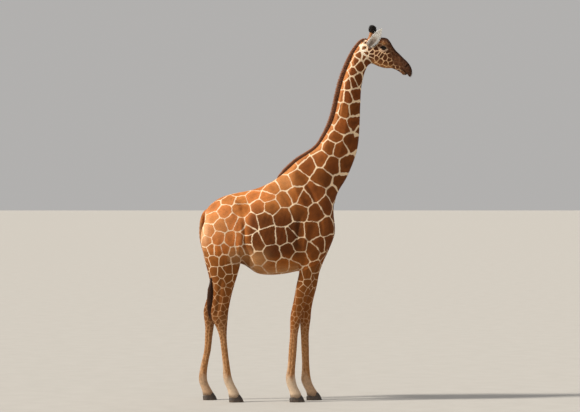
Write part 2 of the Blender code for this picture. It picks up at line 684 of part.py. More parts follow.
def part_flesh(flesh):
    """Thin plates part the flesh; every loose piece gets its name."""
    plates = [
        # poll: from the crest behind the ears to the throat
        slab("poll_plate", at(169.4, 348.4), (22.5, 0, 10.5), 0.21, 0.16, (10.5, 0, -22.5)),
        # root of the neck: from the withers to the front of the chest
        slab("neck_plate", at(128.6, 222.0), (68.7, 0, 15.0), 0.46, 0.30, (15.0, 0, -68.7)),
    ]
    for side, word in ((-1, "right"), (1, "left")):
        hind = Vector((0.45, -side * 0.25, 1.0))
        plates.append(slab("hind_plate_" + word, at(23.2, 141.3, side * 0.175), hind, 0.285, 0.172, (1.0, 0, -0.45)))
        fore = Vector((-0.50, -side * 0.18, 1.0))
        middle = 112.0 if side < 0 else 115.6
        plates.append(slab("fore_plate_" + word, at(middle, 76.6 + 0.5 * middle, side * 0.155), fore, 0.188, 0.150, (1.0, 0, 0.50)))
    for plate in plates:
        cut(flesh, plate)
    whole = baked(flesh, "flesh")
    bm = bmesh.new()
    bm.from_mesh(whole.data)
    bpy.data.objects.remove(whole, do_unlink=True)
    bm.verts.ensure_lookup_table()
    island = [-1] * len(bm.verts)
    groups = []
    for start in bm.verts:
        if island[start.index] >= 0:
            continue
        stack, found = [start], []
        island[start.index] = len(groups)
        while stack:
            vert = stack.pop()
            found.append(vert.index)
            for edge in vert.link_edges:
                other = edge.other_vert(vert)
                if island[other.index] < 0:
                    island[other.index] = len(groups)
                    stack.append(other)
        groups.append(found)
    homes = {
        "trunk": at(65, 175), "neck": at(150, 290), "head": at(190, 347),
        "foreleg_right": at(97, 70, -0.15), "foreleg_left": at(108, 70, 0.15),
        "hindleg_right": at(25, 90, -0.17), "hindleg_left": at(14, 90, 0.17),
    }
    found = {}
    for number, members in enumerate(groups):
        box = np.array([bm.verts[i].co[:] for i in members])
        middle = (box.min(axis=0) + box.max(axis=0)) / 2
        name = min(homes, key=lambda key: (homes[key] - Vector(middle)).length)
        print("piece", name, len(members), np.round(box.min(axis=0), 3), np.round(box.max(axis=0), 3))
        found.setdefault(name, []).append(number)
    for name, numbers in found.items():
        biggest = max(numbers, key=lambda n: len(groups[n]))
        keep = set(groups[biggest])
        copy = bm.copy()
        copy.verts.ensure_lookup_table()
        bmesh.ops.delete(copy, geom=[v for v in copy.verts if v.index not in keep], context="VERTS")
        bmesh.ops.triangulate(copy, faces=copy.faces)
        new_object(name, copy)
    bm.free()


def finish():
    """Materials by name, smooth shading, and a parent at the origin."""
    looks = {
        "coat": material("coat", (0.36, 0.13, 0.035), 0.75),
        "mane_hair": material("mane_hair", (0.12, 0.035, 0.012), 0.70),
        "black_hair": material("black_hair", (0.012, 0.010, 0.009), 0.65),
        "ear_skin": material("ear_skin", (0.62, 0.52, 0.42), 0.80),
        "eye": material("eye", (0.012, 0.008, 0.006), 0.08),
        "horn": material("horn", (0.028, 0.022, 0.018), 0.45),
    }
    kinds = (("eye_", "eye"), ("hoof_", "horn"), ("ossicone", "black_hair"), ("ear_", "ear_skin"), ("mane", "mane_hair"), ("tail_tassel", "black_hair"))
    base = bpy.data.objects.new("giraffe", None)
    bpy.context.scene.collection.objects.link(base)
    for obj in list(bpy.context.scene.objects):
        if obj.type != "MESH":
            continue
        obj.parent = base
        if obj.hide_render:
            continue
        kind = next((look for start, look in kinds if obj.name.startswith(start)), "coat")
        obj.data.materials.append(looks[kind])
        obj.data.shade_smooth()
        obj.data.set_sharp_from_angle(angle=math.radians(40))


def main():
    for obj in list(bpy.data.objects):
        bpy.data.objects.remove(obj, do_unlink=True)
    flesh = fused_flesh()
    inset_pieces(flesh)
    for name, heel, toe, side, out in HOOVES:
        block, below = hoof(name, heel, toe, side, out)
        cut(flesh, below)
    part_flesh(flesh)
    finish()


main()
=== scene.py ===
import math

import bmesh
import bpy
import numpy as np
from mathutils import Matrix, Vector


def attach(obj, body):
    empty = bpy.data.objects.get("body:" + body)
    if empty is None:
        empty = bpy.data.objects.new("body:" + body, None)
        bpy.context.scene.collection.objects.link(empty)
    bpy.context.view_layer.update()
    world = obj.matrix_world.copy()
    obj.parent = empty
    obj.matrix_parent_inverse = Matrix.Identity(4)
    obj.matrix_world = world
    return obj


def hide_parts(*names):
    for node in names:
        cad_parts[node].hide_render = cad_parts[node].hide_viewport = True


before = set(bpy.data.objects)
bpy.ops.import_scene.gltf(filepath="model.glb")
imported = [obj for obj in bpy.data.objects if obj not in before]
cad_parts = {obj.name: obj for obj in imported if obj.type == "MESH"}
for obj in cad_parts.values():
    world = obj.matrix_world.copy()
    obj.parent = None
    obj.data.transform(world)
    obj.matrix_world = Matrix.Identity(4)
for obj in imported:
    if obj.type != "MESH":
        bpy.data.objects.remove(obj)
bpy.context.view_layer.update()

# Reticulated giraffe: the looks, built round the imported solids.
#
# One skin stands for trunk, neck, head, ears, legs and tail.  It is lofted from
# the same drawing grid as the solids (12 mm squares, columns forward from the
# buttocks, rows up from the floor), fused, relaxed, sunk by the coat's depth and
# then carved: lids, nostrils, lips, cheeks, tendons, knees, hocks, folds.
# Eyes, ossicones and hooves are pieces of their own.  The net of markings is a
# set of cells round seeds laid over the hide; skin and tufts read the same net.

# ------------------------------------------------------------ driving sizes
U = 0.012
MID_COLUMN = 107.08
HEAD_TURN = math.radians(8.0)
EYE_RADIUS = 0.0275
EYE_COLUMN, EYE_ROW, EYE_OUT = 185.8, 352.3, 0.0655
HORN_COLUMN, HORN_ROW, HORN_OUT = 172.3, 361.6, 0.044
HORN_LENGTH = 0.160
EAR_LENGTH, EAR_WIDTH, EAR_THICK = 0.295, 0.130, 0.010
MANE_HALF_BASE, MANE_HALF_EDGE = 0.020, 0.009
TAIL_TASSEL_HALF = 0.036
HOOF_TOP = 0.068

SKIN_VOXEL = 0.0104  # grain of the fused hide on the body
HEAD_ZOOM = 3.2  # the head is fused this many times finer
HEAD_REACH = 0.44
COAT_DEPTH = 0.004

CAMERA_FAR = 28.0
SHOT = (580, 412)

# Hooves: heel column, toe column, side, distance from the mid plane.
HOOVES = [
    ("hoof_hind_right", 31.6, 46.0, -1, 0.165),
    ("hoof_hind_left", 4.6, 18.6, 1, 0.165),
    ("hoof_fore_right", 91.6, 106.8, -1, 0.150),
    ("hoof_fore_left", 108.6, 124.2, 1, 0.150),
]

# Trunk and neck, rump to poll: back line (column, row), belly and throat
# line (column, row), half width, fullness, narrowing towards the back line.
SPINE = [
    (7.5, 189.0, 5.5, 169.0, 0.090, 2.0, 0.00),
    (12.0, 196.0, 9.5, 155.0, 0.180, 2.1, 0.10),
    (20.0, 202.3, 19.0, 145.0, 0.240, 2.2, 0.16),
    (30.0, 206.3, 32.0, 140.0, 0.268, 2.2, 0.18),
    (42.0, 209.0, 46.0, 136.0, 0.285, 2.2, 0.18),
    (54.0, 211.4, 59.0, 127.7, 0.318, 2.2, 0.18),
    (66.0, 215.7, 72.0, 126.0, 0.335, 2.2, 0.20),
    (77.0, 221.7, 86.0, 127.0, 0.322, 2.2, 0.26),
    (87.0, 229.5, 99.0, 129.5, 0.292, 2.1, 0.34),
    (99.0, 240.5, 115.0, 132.0, 0.255, 2.0, 0.38),
    (108.0, 246.5, 128.0, 145.0, 0.228, 2.0, 0.34),
    (115.0, 251.0, 137.3, 166.0, 0.195, 2.0, 0.24),
    (121.0, 256.7, 136.0, 188.0, 0.160, 2.0, 0.14),
    (125.7, 264.0, 139.2, 206.5, 0.138, 2.0, 0.08),
    (129.3, 270.0, 148.2, 222.0, 0.123, 2.0, 0.04),
    (132.5, 276.0, 156.0, 240.0, 0.113, 2.0, 0.02),
    (135.3, 283.0, 160.3, 256.0, 0.105, 2.0, 0.02),
    (138.0, 293.0, 161.8, 275.0, 0.098, 2.0, 0.02),
    (140.8, 306.0, 162.5, 295.0, 0.092, 2.0, 0.02),
    (144.0, 319.0, 163.5, 313.0, 0.086, 2.0, 0.02),
    (148.0, 330.5, 166.0, 326.0, 0.083, 2.0, 0.02),
    (152.7, 342.0, 170.0, 335.2, 0.081, 2.0, 0.02),
    (158.0, 352.4, 175.0, 338.5, 0.078, 2.0, 0.00),
    (163.6, 359.4, 180.0, 345.0, 0.066, 2.0, 0.00),
]

# Head, poll to muzzle, in the same form.
HEAD = [
    (163.6, 359.6, 168.5, 339.0, 0.066, 2.1, 0.00),
    (169.8, 362.8, 175.0, 336.9, 0.080, 2.2, 0.00),
    (177.0, 363.5, 181.0, 334.2, 0.086, 2.3, 0.02),
    (183.2, 363.4, 187.0, 332.6, 0.087, 2.4, 0.06),
    (188.8, 362.4, 191.4, 332.5, 0.080, 2.4, 0.06),
    (192.2, 359.3, 194.4, 332.3, 0.070, 2.4, 0.02),
    (195.0, 354.5, 196.6, 331.7, 0.062, 2.4, -0.04),
    (198.3, 350.0, 199.3, 330.5, 0.055, 2.4, -0.06),
    (201.9, 346.6, 202.2, 329.3, 0.051, 2.4, -0.04),
    (205.5, 342.9, 205.1, 328.3, 0.049, 2.4, 0.00),
    (209.6, 338.9, 208.1, 327.3, 0.050, 2.4, 0.04),
    (212.8, 334.5, 210.5, 325.5, 0.050, 2.3, 0.06),
    (214.3, 329.8, 211.4, 323.9, 0.046, 2.2, 0.04),
    (214.0, 326.4, 212.4, 323.5, 0.032, 2.1, 0.00),
]

# Lower lip and chin, below the mouth.
CHIN = [
    (193.5, 338.5, 194.0, 332.4, 0.040, 2.2, 0.0),
    (198.5, 336.0, 199.2, 330.2, 0.043, 2.2, 0.0),
    (203.2, 332.4, 203.4, 327.4, 0.041, 2.2, 0.0),
    (206.4, 330.0, 206.6, 325.6, 0.037, 2.2, 0.0),
    (208.6, 328.0, 208.8, 326.0, 0.022, 2.0, 0.0),
]

# Legs, top to coronet: column of the back edge, of the front edge, row,
# distance of the leg's middle from the mid plane, half width.
HIND_RIGHT = [
    (15.0, 37.0, 193.0, 0.105, 0.050),
    (6.0, 44.0, 178.0, 0.148, 0.104),
    (3.0, 45.6, 162.0, 0.170, 0.130),
    (6.0, 45.0, 149.0, 0.180, 0.122),
    (9.6, 43.2, 138.0, 0.186, 0.104),
    (12.2, 40.4, 127.5, 0.186, 0.087),
    (15.4, 37.6, 118.5, 0.182, 0.071),
    (15.5, 34.5, 107.5, 0.176, 0.058),
    (14.4, 32.4, 97.7, 0.170, 0.052),
    (12.9, 30.9, 88.8, 0.166, 0.051),
    (14.4, 30.4, 81.8, 0.164, 0.049),
    (18.4, 29.7, 74.0, 0.162, 0.043),
    (21.7, 29.4, 64.0, 0.161, 0.036),
    (23.6, 30.6, 50.0, 0.160, 0.033),
    (24.9, 32.4, 36.0, 0.160, 0.036),
    (25.4, 34.2, 25.2, 0.160, 0.044),
    (27.0, 36.8, 18.3, 0.161, 0.044),
    (29.6, 40.0, 12.3, 0.163, 0.046),
    (31.0, 42.4, 6.6, 0.165, 0.052),
    (31.8, 43.4, 3.0, 0.165, 0.050),
]
HIND_LEFT = [
    (15.0, 37.0, 193.0, 0.105, 0.050),
    (5.6, 43.4, 178.0, 0.148, 0.104),
    (2.6, 43.0, 162.0, 0.170, 0.130),
    (4.0, 41.0, 149.0, 0.180, 0.122),
    (6.4, 38.5, 138.0, 0.186, 0.104),
    (9.4, 34.8, 127.0, 0.186, 0.087),
    (10.8, 30.8, 118.0, 0.182, 0.071),
    (9.4, 25.8, 106.3, 0.176, 0.058),
    (6.6, 22.2, 97.3, 0.170, 0.052),
    (4.8, 19.2, 89.2, 0.166, 0.051),
    (5.3, 17.3, 82.2, 0.164, 0.049),
    (6.4, 15.6, 73.1, 0.162, 0.043),
    (6.2, 14.2, 63.0, 0.161, 0.036),
    (5.4, 12.7, 50.0, 0.160, 0.033),
    (2.7, 10.2, 38.0, 0.160, 0.035),
    (0.8, 8.8, 28.0, 0.160, 0.042),
    (0.2, 9.1, 19.8, 0.161, 0.045),
    (1.8, 11.4, 13.8, 0.163, 0.045),
    (3.8, 14.6, 8.0, 0.165, 0.050),
    (4.8, 16.0, 3.4, 0.165, 0.050),
]
FORE_RIGHT = [
    (97.0, 122.0, 214.0, 0.110, 0.050),
    (94.0, 130.0, 198.0, 0.140, 0.068),
    (93.0, 135.6, 180.0, 0.165, 0.080),
    (95.0, 135.0, 164.0, 0.178, 0.086),
    (98.0, 129.0, 151.5, 0.182, 0.085),
    (100.3, 122.0, 140.0, 0.180, 0.080),
    (100.8, 117.0, 129.5, 0.174, 0.072),
    (98.2, 113.8, 116.6, 0.166, 0.064),
    (95.5, 109.4, 101.7, 0.158, 0.056),
    (93.3, 105.8, 91.8, 0.154, 0.051),
    (92.0, 103.5, 83.8, 0.152, 0.054),
    (91.8, 101.8, 75.9, 0.151, 0.049),
    (91.7, 100.0, 67.0, 0.150, 0.040),
    (90.5, 99.0, 52.0, 0.149, 0.036),
    (89.5, 97.7, 37.0, 0.148, 0.037),
    (88.2, 97.2, 28.2, 0.148, 0.042),
    (87.8, 97.8, 22.3, 0.148, 0.047),
    (89.0, 99.4, 16.3, 0.149, 0.045),
    (91.0, 102.0, 11.0, 0.150, 0.047),
    (92.0, 103.8, 6.6, 0.150, 0.053),
    (92.4, 104.6, 3.0, 0.150, 0.051),
]
FORE_LEFT = [
    (97.0, 122.0, 214.0, 0.110, 0.050),
    (94.0, 130.0, 198.0, 0.140, 0.068),
    (94.0, 136.4, 180.0, 0.165, 0.080),
    (97.0, 136.2, 164.0, 0.178, 0.086),
    (101.5, 131.6, 151.0, 0.182, 0.085),
    (104.2, 126.0, 139.0, 0.180, 0.080),
    (105.0, 122.0, 128.5, 0.174, 0.072),
    (104.0, 119.4, 115.3, 0.166, 0.064),
    (102.0, 115.6, 100.3, 0.158, 0.056),
    (101.4, 113.7, 90.2, 0.154, 0.051),
    (101.8, 113.1, 82.2, 0.152, 0.054),
    (102.0, 112.0, 74.2, 0.151, 0.049),
    (102.6, 111.2, 65.0, 0.150, 0.040),
    (103.2, 111.4, 50.0, 0.149, 0.036),
    (103.7, 111.6, 38.0, 0.148, 0.037),
    (103.6, 112.3, 28.0, 0.148, 0.042),
    (103.0, 113.4, 20.9, 0.148, 0.047),
    (104.8, 115.6, 14.7, 0.149, 0.045),
    (107.6, 118.8, 9.4, 0.150, 0.048),
    (109.2, 121.2, 4.6, 0.150, 0.053),
    (109.6, 121.8, 2.0, 0.150, 0.051),
]

# Tail: column and row of its middle, its radius.  It lies in the cleft of
# the buttocks and hangs between the hind legs.
TAIL = [
    (12.4, 188.6, 0.034),
    (8.2, 186.6, 0.036),
    (5.2, 181.2, 0.036),
    (3.9, 173.0, 0.033),
    (3.7, 164.0, 0.029),
    (5.4, 154.0, 0.025),
    (8.6, 144.0, 0.021),
    (11.4, 135.0, 0.018),
    (12.9, 127.0, 0.016),
    (13.0, 120.0, 0.014),
]
TASSEL = [
    (12.9, 118.6, 0.018),
    (12.4, 112.0, 0.030),
    (12.1, 104.0, TAIL_TASSEL_HALF),
    (12.0, 96.0, TAIL_TASSEL_HALF * 0.97),
    (12.0, 89.0, TAIL_TASSEL_HALF * 0.80),
    (12.0, 83.5, TAIL_TASSEL_HALF * 0.50),
    (12.0, 80.5, TAIL_TASSEL_HALF * 0.22),
]

# Mane: column and row of its foot on the crest, height of its brush in
# grid squares.
MANE = [
    (79.5, 223.6, 0.5),
    (83.5, 226.4, 2.3),
    (89.0, 231.4, 3.5),
    (99.0, 240.5, 3.3),
    (108.0, 246.5, 2.9),
    (115.0, 251.0, 2.9),
    (121.0, 256.7, 3.1),
    (125.7, 264.0, 3.5),
    (129.3, 270.0, 4.0),
    (132.5, 276.0, 4.6),
    (135.3, 283.0, 4.9),
    (138.0, 293.0, 5.0),
    (140.8, 306.0, 5.0),
    (144.0, 319.0, 4.9),
    (148.0, 330.6, 4.8),
    (152.7, 342.0, 4.4),
    (158.0, 352.4, 3.7),
    (163.6, 359.4, 3.0),
    (168.2, 362.2, 1.1),
]

# Swellings and hollows of the hide: column, distance from the mid plane,
# row, reach along X, Y and Z in grid squares, height in metres (outwards).
# Each is made on both sides.
FORMS = [
    # hip bone, stifle, haunch, loin hollow, flank hollow
    (38.0, 0.200, 198.0, 5.0, 8.0, 4.0, 0.020),
    (41.0, 0.250, 152.0, 6.0, 9.0, 9.0, 0.014),
    (20.0, 0.260, 172.0, 12.0, 9.0, 16.0, 0.012),
    (48.0, 0.260, 190.0, 6.0, 9.0, 9.0, -0.020),
    (50.0, 0.240, 150.0, 5.0, 9.0, 9.0, -0.020),
    # withers blade, point of shoulder, upper arm, girth behind the elbow
    (97.0, 0.130, 222.0, 6.0, 9.0, 12.0, 0.010),
    (131.0, 0.150, 170.0, 6.0, 9.0, 6.0, 0.016),
    (108.0, 0.230, 160.0, 9.0, 9.0, 10.0, 0.010),
    (92.0, 0.240, 146.0, 5.0, 9.0, 9.0, -0.014),
    (118.0, 0.180, 205.0, 7.0, 9.0, 9.0, -0.012),
]


# ------------------------------------------------------------ small helpers
def at(column, row, out=0.0):
    """A point of the drawing grid in metres."""
    return Vector(((column - MID_COLUMN) * U, out, row * U))


def spline(rows, per_span):
    """Catmull-Rom curve through every column of a station table."""
    a = np.array(rows, float)
    padded = np.vstack([2 * a[0] - a[1], a, 2 * a[-1] - a[-2]])
    out = []
    for i in range(len(a) - 1):
        p0, p1, p2, p3 = padded[i : i + 4]
        for k in range(per_span):
            t = k / per_span
            out.append(0.5 * (2 * p1 + (p2 - p0) * t + (2 * p0 - 5 * p1 + 4 * p2 - p3) * t * t + (3 * p1 - p0 - 3 * p2 + p3) * t**3))
    out.append(a[-1])
    return np.array(out)


def oval(centre, up, across, half_up, half_across, fullness, narrowing, count):
    """Points of one superellipse ring, narrower towards its upper end."""
    ring = []
    for i in range(count):
        angle = 2 * math.pi * (i + 0.5) / count
        c, s = math.cos(angle), math.sin(angle)
        t = math.copysign(abs(c) ** (2 / fullness), c)
        w = math.copysign(abs(s) ** (2 / fullness), s)
        ring.append(centre + up * (half_up * t) + across * (half_across * w * (1 - narrowing * t)))
    return ring


def loft(bm, rings):
    """Bridges rings into one closed skin with a domed cap at each end."""
    loops = []
    for ring in rings:
        verts = [bm.verts.new(p) for p in ring]
        loops.append([bm.edges.new((verts[i], verts[i - 1])) for i in range(len(verts))])
    for first, second in zip(loops, loops[1:]):
        bmesh.ops.bridge_loops(bm, edges=first + second)
    for loop in (loops[0], loops[-1]):
        bmesh.ops.contextual_create(bm, geom=loop)


def profile_rings(rows, per_span, count):
    """Rings of the trunk, neck and head from their two outlines."""
    rings = []
    for xt, zt, xb, zb, half, full, narrow in spline(rows, per_span):
        top, bottom = at(xt, zt), at(xb, zb)
        up = top - bottom
        rings.append(oval((top + bottom) / 2, up.normalized(), Vector((0, 1, 0)), up.length / 2, max(half, 0.004), full, narrow, count))
    return rings


def leg_rings(rows, side, per_span, count):
    """Level rings of a leg: front and back edge, and half width."""
    rings = []
    for back, front, row, out, half in spline(rows, per_span):
        a, b = at(back, row, side * out), at(front, row, side * out)
        rings.append(oval((a + b) / 2, Vector((1, 0, 0)), Vector((0, 1, 0)), (b - a).length / 2, half, 2.15, 0.0, count))
    return rings


def tube_rings(rows, per_span, count, flat=1.0, grow=0.0):
    """Rings of a hanging tube square to its own line."""
    points = spline(rows, per_span)
    points[:, 2] += grow
    rings = []
    for i, (column, row, radius) in enumerate(points):
        before, after = points[max(i - 1, 0)], points[min(i + 1, len(points) - 1)]
        along = (at(after[0], after[1]) - at(before[0], before[1])).normalized()
        side = Vector((0, 1, 0))
        centre = at(column, row)
        if i in (0, len(points) - 1):
            centre += along * (grow if i else -grow)
        rings.append(oval(centre, along.cross(side).normalized(), side, radius, radius * flat, 2.0, 0.0, count))
    return rings


def ear_frame(side):
    """Root, long axis, width axis and opening axis of an ear."""
    root = at(172.6, 356.6, side * 0.086)
    if side < 0:
        along = Vector((0.62, side * 0.36, 0.70)).normalized()
        opening = Vector((0.34, side * 0.90, -0.10))
    else:
        along = Vector((0.26, side * 0.78, 0.52)).normalized()
        opening = Vector((0.80, side * 0.52, -0.16))
    opening = (opening - along * opening.dot(along)).normalized()
    return root, along, along.cross(opening).normalized(), opening


def ear_half(u):
    """Half width of the ear against the share of its length."""
    if u < 0.42:
        return EAR_WIDTH / 2 * (0.42 + 0.58 * math.sin(math.pi / 2 * u / 0.42))
    return EAR_WIDTH / 2 * max(math.cos(math.pi / 2 * ((u - 0.42) / 0.58) ** 1.25), 0.0) ** 0.8


def ear(bm, side, grow=0.0, steps=9, count=7):
    """A cupped leaf of even thickness, closed round its rim."""
    root, along, wide, opening = ear_frame(side)
    sheets = []
    for layer in (0.5, -0.5):
        rows = []
        for i in range(steps + 1):
            u = i / steps
            base = max(ear_half(u), 0.006)
            half = base + grow
            thick = EAR_THICK * (1.2 - 0.5 * u) + 2 * grow
            reach = EAR_LENGTH * u - 0.040 + grow * (2 * u - 1)
            rows.append([
                root
                + along * reach
                + wide * (half * v)
                + opening * (0.80 * (half * v) ** 2 / base * (1 - 0.45 * u) + layer * thick - 0.022 * math.sin(math.pi * u))
                for v in (-math.cos(math.pi * k / (count - 1)) for k in range(count))
            ])
        sheets.append([[bm.verts.new(p) for p in row] for row in rows])
    front, back = sheets
    for i in range(steps):
        for k in range(count - 1):
            bm.faces.new((front[i][k], front[i][k + 1], front[i + 1][k + 1], front[i + 1][k]))
            bm.faces.new((back[i][k + 1], back[i][k], back[i + 1][k], back[i + 1][k + 1]))
        bm.faces.new((front[i][0], front[i + 1][0], back[i + 1][0], back[i][0]))
        bm.faces.new((front[i + 1][-1], front[i][-1], back[i][-1], back[i + 1][-1]))
    for k in range(count - 1):
        bm.faces.new((front[0][k + 1], front[0][k], back[0][k], back[0][k + 1]))
        bm.faces.new((front[-1][k], front[-1][k + 1], back[-1][k + 1], back[-1][k]))


def horn_frame(side):
    root = at(HORN_COLUMN, HORN_ROW, side * HORN_OUT)
    return root, Vector((0.22, side * 0.13, 1.0)).normalized()


def horn(bm, side, grow=0.0):
    """An ossicone: a tapering shaft with a tufted knob at its end."""
    root, along = horn_frame(side)
    fore = Vector((1, 0, 0))
    across = along.cross(fore).normalized()
    fore = across.cross(along).normalized()
    rings = []
    for share, radius in ((-0.20, 0.030), (0.0, 0.028), (0.22, 0.022), (0.40, 0.020), (0.52, 0.029), (0.66, 0.036), (0.82, 0.034), (0.94, 0.022), (1.0, 0.008)):
        rings.append(oval(root + along * (HORN_LENGTH * share - (grow if share < 0 else 0)), fore, across, radius + grow, radius + grow, 2.0, 0.0, 12))
    loft(bm, rings)


def mane_rings(grow=0.0, count=8, per_span=2, sink=0.030):
    """Upright brush along the crest, its foot sunk in the neck."""
    line = spline(MANE, per_span)
    rings = []
    for i, (column, row, height) in enumerate(line):
        ahead, behind = line[min(i + 1, len(line) - 1)], line[max(i - 1, 0)]
        along = (at(ahead[0], ahead[1]) - at(behind[0], behind[1])).normalized()
        up = Vector((-along.z, 0, along.x))
        foot = at(column, row) - up * (sink + grow)
        if i in (0, len(line) - 1):
            foot += along * (grow if i else -grow)
        tip = height * U + sink + 2 * grow
        ring = []
        for k in range(count):
            angle = 2 * math.pi * (k + 0.5) / count
            t = 0.5 + 0.5 * math.cos(angle)
            half = (MANE_HALF_BASE + (MANE_HALF_EDGE - MANE_HALF_BASE) * t) * 1.15 + grow
            ring.append(foot + up * (tip * t) + Vector((0, half * math.sin(angle), 0)))
        rings.append(ring)
    return rings


# ------------------------------------------------------------ shaping
def smooth_step(x):
    x = np.clip(x, 0, 1)
    return x * x * (3 - 2 * x)


def relax(points, ends, weight, rounds):
    """Laplacian smoothing, vertex by vertex weight."""
    a, b = ends[:, 0], ends[:, 1]
    degree = np.bincount(np.concatenate([a, b]), minlength=len(points)).astype(float)
    for _ in range(rounds):
        mean = np.stack([
            (np.bincount(a, points[b, k], len(points)) + np.bincount(b, points[a, k], len(points))) / degree
            for k in range(3)
        ], axis=1)
        points = points + (mean - points) * weight[:, None]
    return points


def junction_weight(points):
    """How strongly the hide is relaxed: most where limbs and neck join."""
    c = points[:, 0] / U + MID_COLUMN
    y = np.abs(points[:, 1])
    r = points[:, 2] / U

    def ball(column, out, row, across, aside, high):
        d = ((c - column) / across) ** 2 + ((y - out) / aside) ** 2 + ((r - row) / high) ** 2
        return np.exp(-d)

    weight = 0.55 * ball(44, 0.15, 160, 16, 0.30, 24)
    weight += 0.60 * ball(22, 0.12, 192, 26, 0.40, 22)
    weight += 0.55 * ball(6, 0.06, 160, 9, 0.09, 26)
    weight += 0.60 * ball(100, 0.15, 150, 22, 0.30, 20)
    weight += 0.60 * ball(112, 0.15, 215, 26, 0.40, 34)
    weight += 0.60 * ball(130, 0.12, 170, 16, 0.30, 26)
    weight += 0.60 * ball(20, 0.05, 140, 30, 0.12, 12)
    weight += 0.35 * ball(170, 0.06, 350, 8, 0.10, 14)
    weight += 0.25 * ball(173, 0.045, 362, 5, 0.04, 5)
    weight += 0.10
    return np.clip(weight, 0, 0.62)


def shape_forms(points, normals):
    """Adds the named swellings and hollows along the surface normal."""
    c = points[:, 0] / U + MID_COLUMN
    y = np.abs(points[:, 1])
    r = points[:, 2] / U
    lift = np.zeros(len(points))
    for column, out, row, across, aside, high, height in FORMS:
        d = ((c - column) / across) ** 2 + ((y - out) / (aside * U)) ** 2 + ((r - row) / high) ** 2
        lift += height * np.exp(-d)
    # the hollow of the lower thigh between the shin and the heel tendon
    for side, rows in ((-1, HIND_RIGHT), (1, HIND_LEFT)):
        for back, front, row, out, half in spline(rows[6:10], 3):
            column = back + 0.36 * (front - back)
            d = ((c - column) / 2.2) ** 2 + ((r - row) / 3.0) ** 2
            lift -= 0.0075 * np.exp(-d) * (points[:, 1] * side > 0.06)
    return points + normals * lift[:, None]


def turn_head(points):
    """The head looks a little to its right: a yaw eased in at the poll."""
    pivot = at(168.0, 343.0)
    along = ((points[:, 0] - pivot.x) + (points[:, 2] - pivot.z)) / math.sqrt(2)
    share = smooth_step((along + 14 * U) / (16 * U)) * (points[:, 2] > 3.0)
    angle = -HEAD_TURN * share
    x = points[:, 0] - pivot.x
    y = points[:, 1]
    turned = points.copy()
    turned[:, 0] = pivot.x + x * np.cos(angle) - y * np.sin(angle)
    turned[:, 1] = x * np.sin(angle) + y * np.cos(angle)
    return turned


def eye_centre(side):
    p = at(EYE_COLUMN, EYE_ROW, side * EYE_OUT)
    return Vector(turn_head(np.array([p]))[0])




# ------------------------------------------------------------ the hide
HEAD_HUB = np.array(at(189.0, 346.0))


def swell(points):
    """Stretches space round the head, so that it is fused at a finer grain."""
    away = points - HEAD_HUB
    r = np.linalg.norm(away, axis=1)
    out = np.where(r < HEAD_REACH, r * HEAD_ZOOM, r + HEAD_REACH * (HEAD_ZOOM - 1))
    return HEAD_HUB + away * (out / np.maximum(r, 1e-9))[:, None]


def unswell(points):
    away = points - HEAD_HUB
    r = np.linalg.norm(away, axis=1)
    back = np.where(r < HEAD_REACH * HEAD_ZOOM, r / HEAD_ZOOM, r - HEAD_REACH * (HEAD_ZOOM - 1))
    return HEAD_HUB + away * (back / np.maximum(r, 1e-9))[:, None]


def link(name, mesh):
    obj = bpy.data.objects.new(name, mesh)
    bpy.context.scene.collection.objects.link(obj)
    return obj


def vertex_points(mesh):
    co = np.empty(len(mesh.vertices) * 3, np.float32)
    mesh.vertices.foreach_get("co", co)
    return co.reshape(-1, 3).astype(float)


def vertex_normals(mesh):
    no = np.empty(len(mesh.vertices) * 3, np.float32)
    mesh.vertices.foreach_get("normal", no)
    return no.reshape(-1, 3).astype(float)


def set_points(mesh, points):
    mesh.vertices.foreach_set("co", points.astype(np.float32).ravel())
    mesh.update()


def edge_ends(mesh):
    ends = np.empty(len(mesh.edges) * 2, np.int32)
    mesh.edges.foreach_get("vertices", ends)
    return ends.reshape(-1, 2)


def relax_part(points, ends, weight, rounds, chosen):
    """Relaxes only the chosen vertices."""
    keep = chosen[ends].all(axis=1)
    number = np.cumsum(chosen) - 1
    sub = relax(points[chosen], number[ends[keep]], weight[chosen], rounds)
    points = points.copy()
    points[chosen] = sub
    return points


def baked_mesh(obj):
    graph = bpy.context.evaluated_depsgraph_get()
    mesh = bpy.data.meshes.new_from_object(obj.evaluated_get(graph))
    old = obj.data
    bpy.data.objects.remove(obj, do_unlink=True)
    bpy.data.meshes.remove(old)
    return mesh


def fused_hide():
    """Trunk, neck, head, ears and legs as one closed quad mesh."""
    bm = bmesh.new()
    loft(bm, profile_rings(SPINE, 4, 44))
    loft(bm, profile_rings(HEAD, 5, 40))
    loft(bm, profile_rings(CHIN, 5, 28))
    for side, fore, hind in ((-1, FORE_RIGHT, HIND_RIGHT), (1, FORE_LEFT, HIND_LEFT)):
        loft(bm, leg_rings(fore, side, 4, 30))
        loft(bm, leg_rings(hind, side, 4, 30))
        ear(bm, side, grow=-0.0010, steps=20, count=13)
    bmesh.ops.recalc_face_normals(bm, faces=bm.faces)
    mesh = bpy.data.meshes.new("hide")
    bm.to_mesh(mesh)
    bm.free()
    set_points(mesh, swell(vertex_points(mesh)))
    obj = link("hide", mesh)
    fuse = obj.modifiers.new("fuse", "REMESH")
    fuse.mode = "VOXEL"
    fuse.voxel_size = SKIN_VOXEL * 1.0
    mesh = baked_mesh(obj)
    set_points(mesh, unswell(vertex_points(mesh)))
    return mesh


def grid_of(points):
    """Column, distance from the mid plane and row of every point."""
    return points[:, 0] / U + MID_COLUMN, points[:, 1], points[:, 2] / U


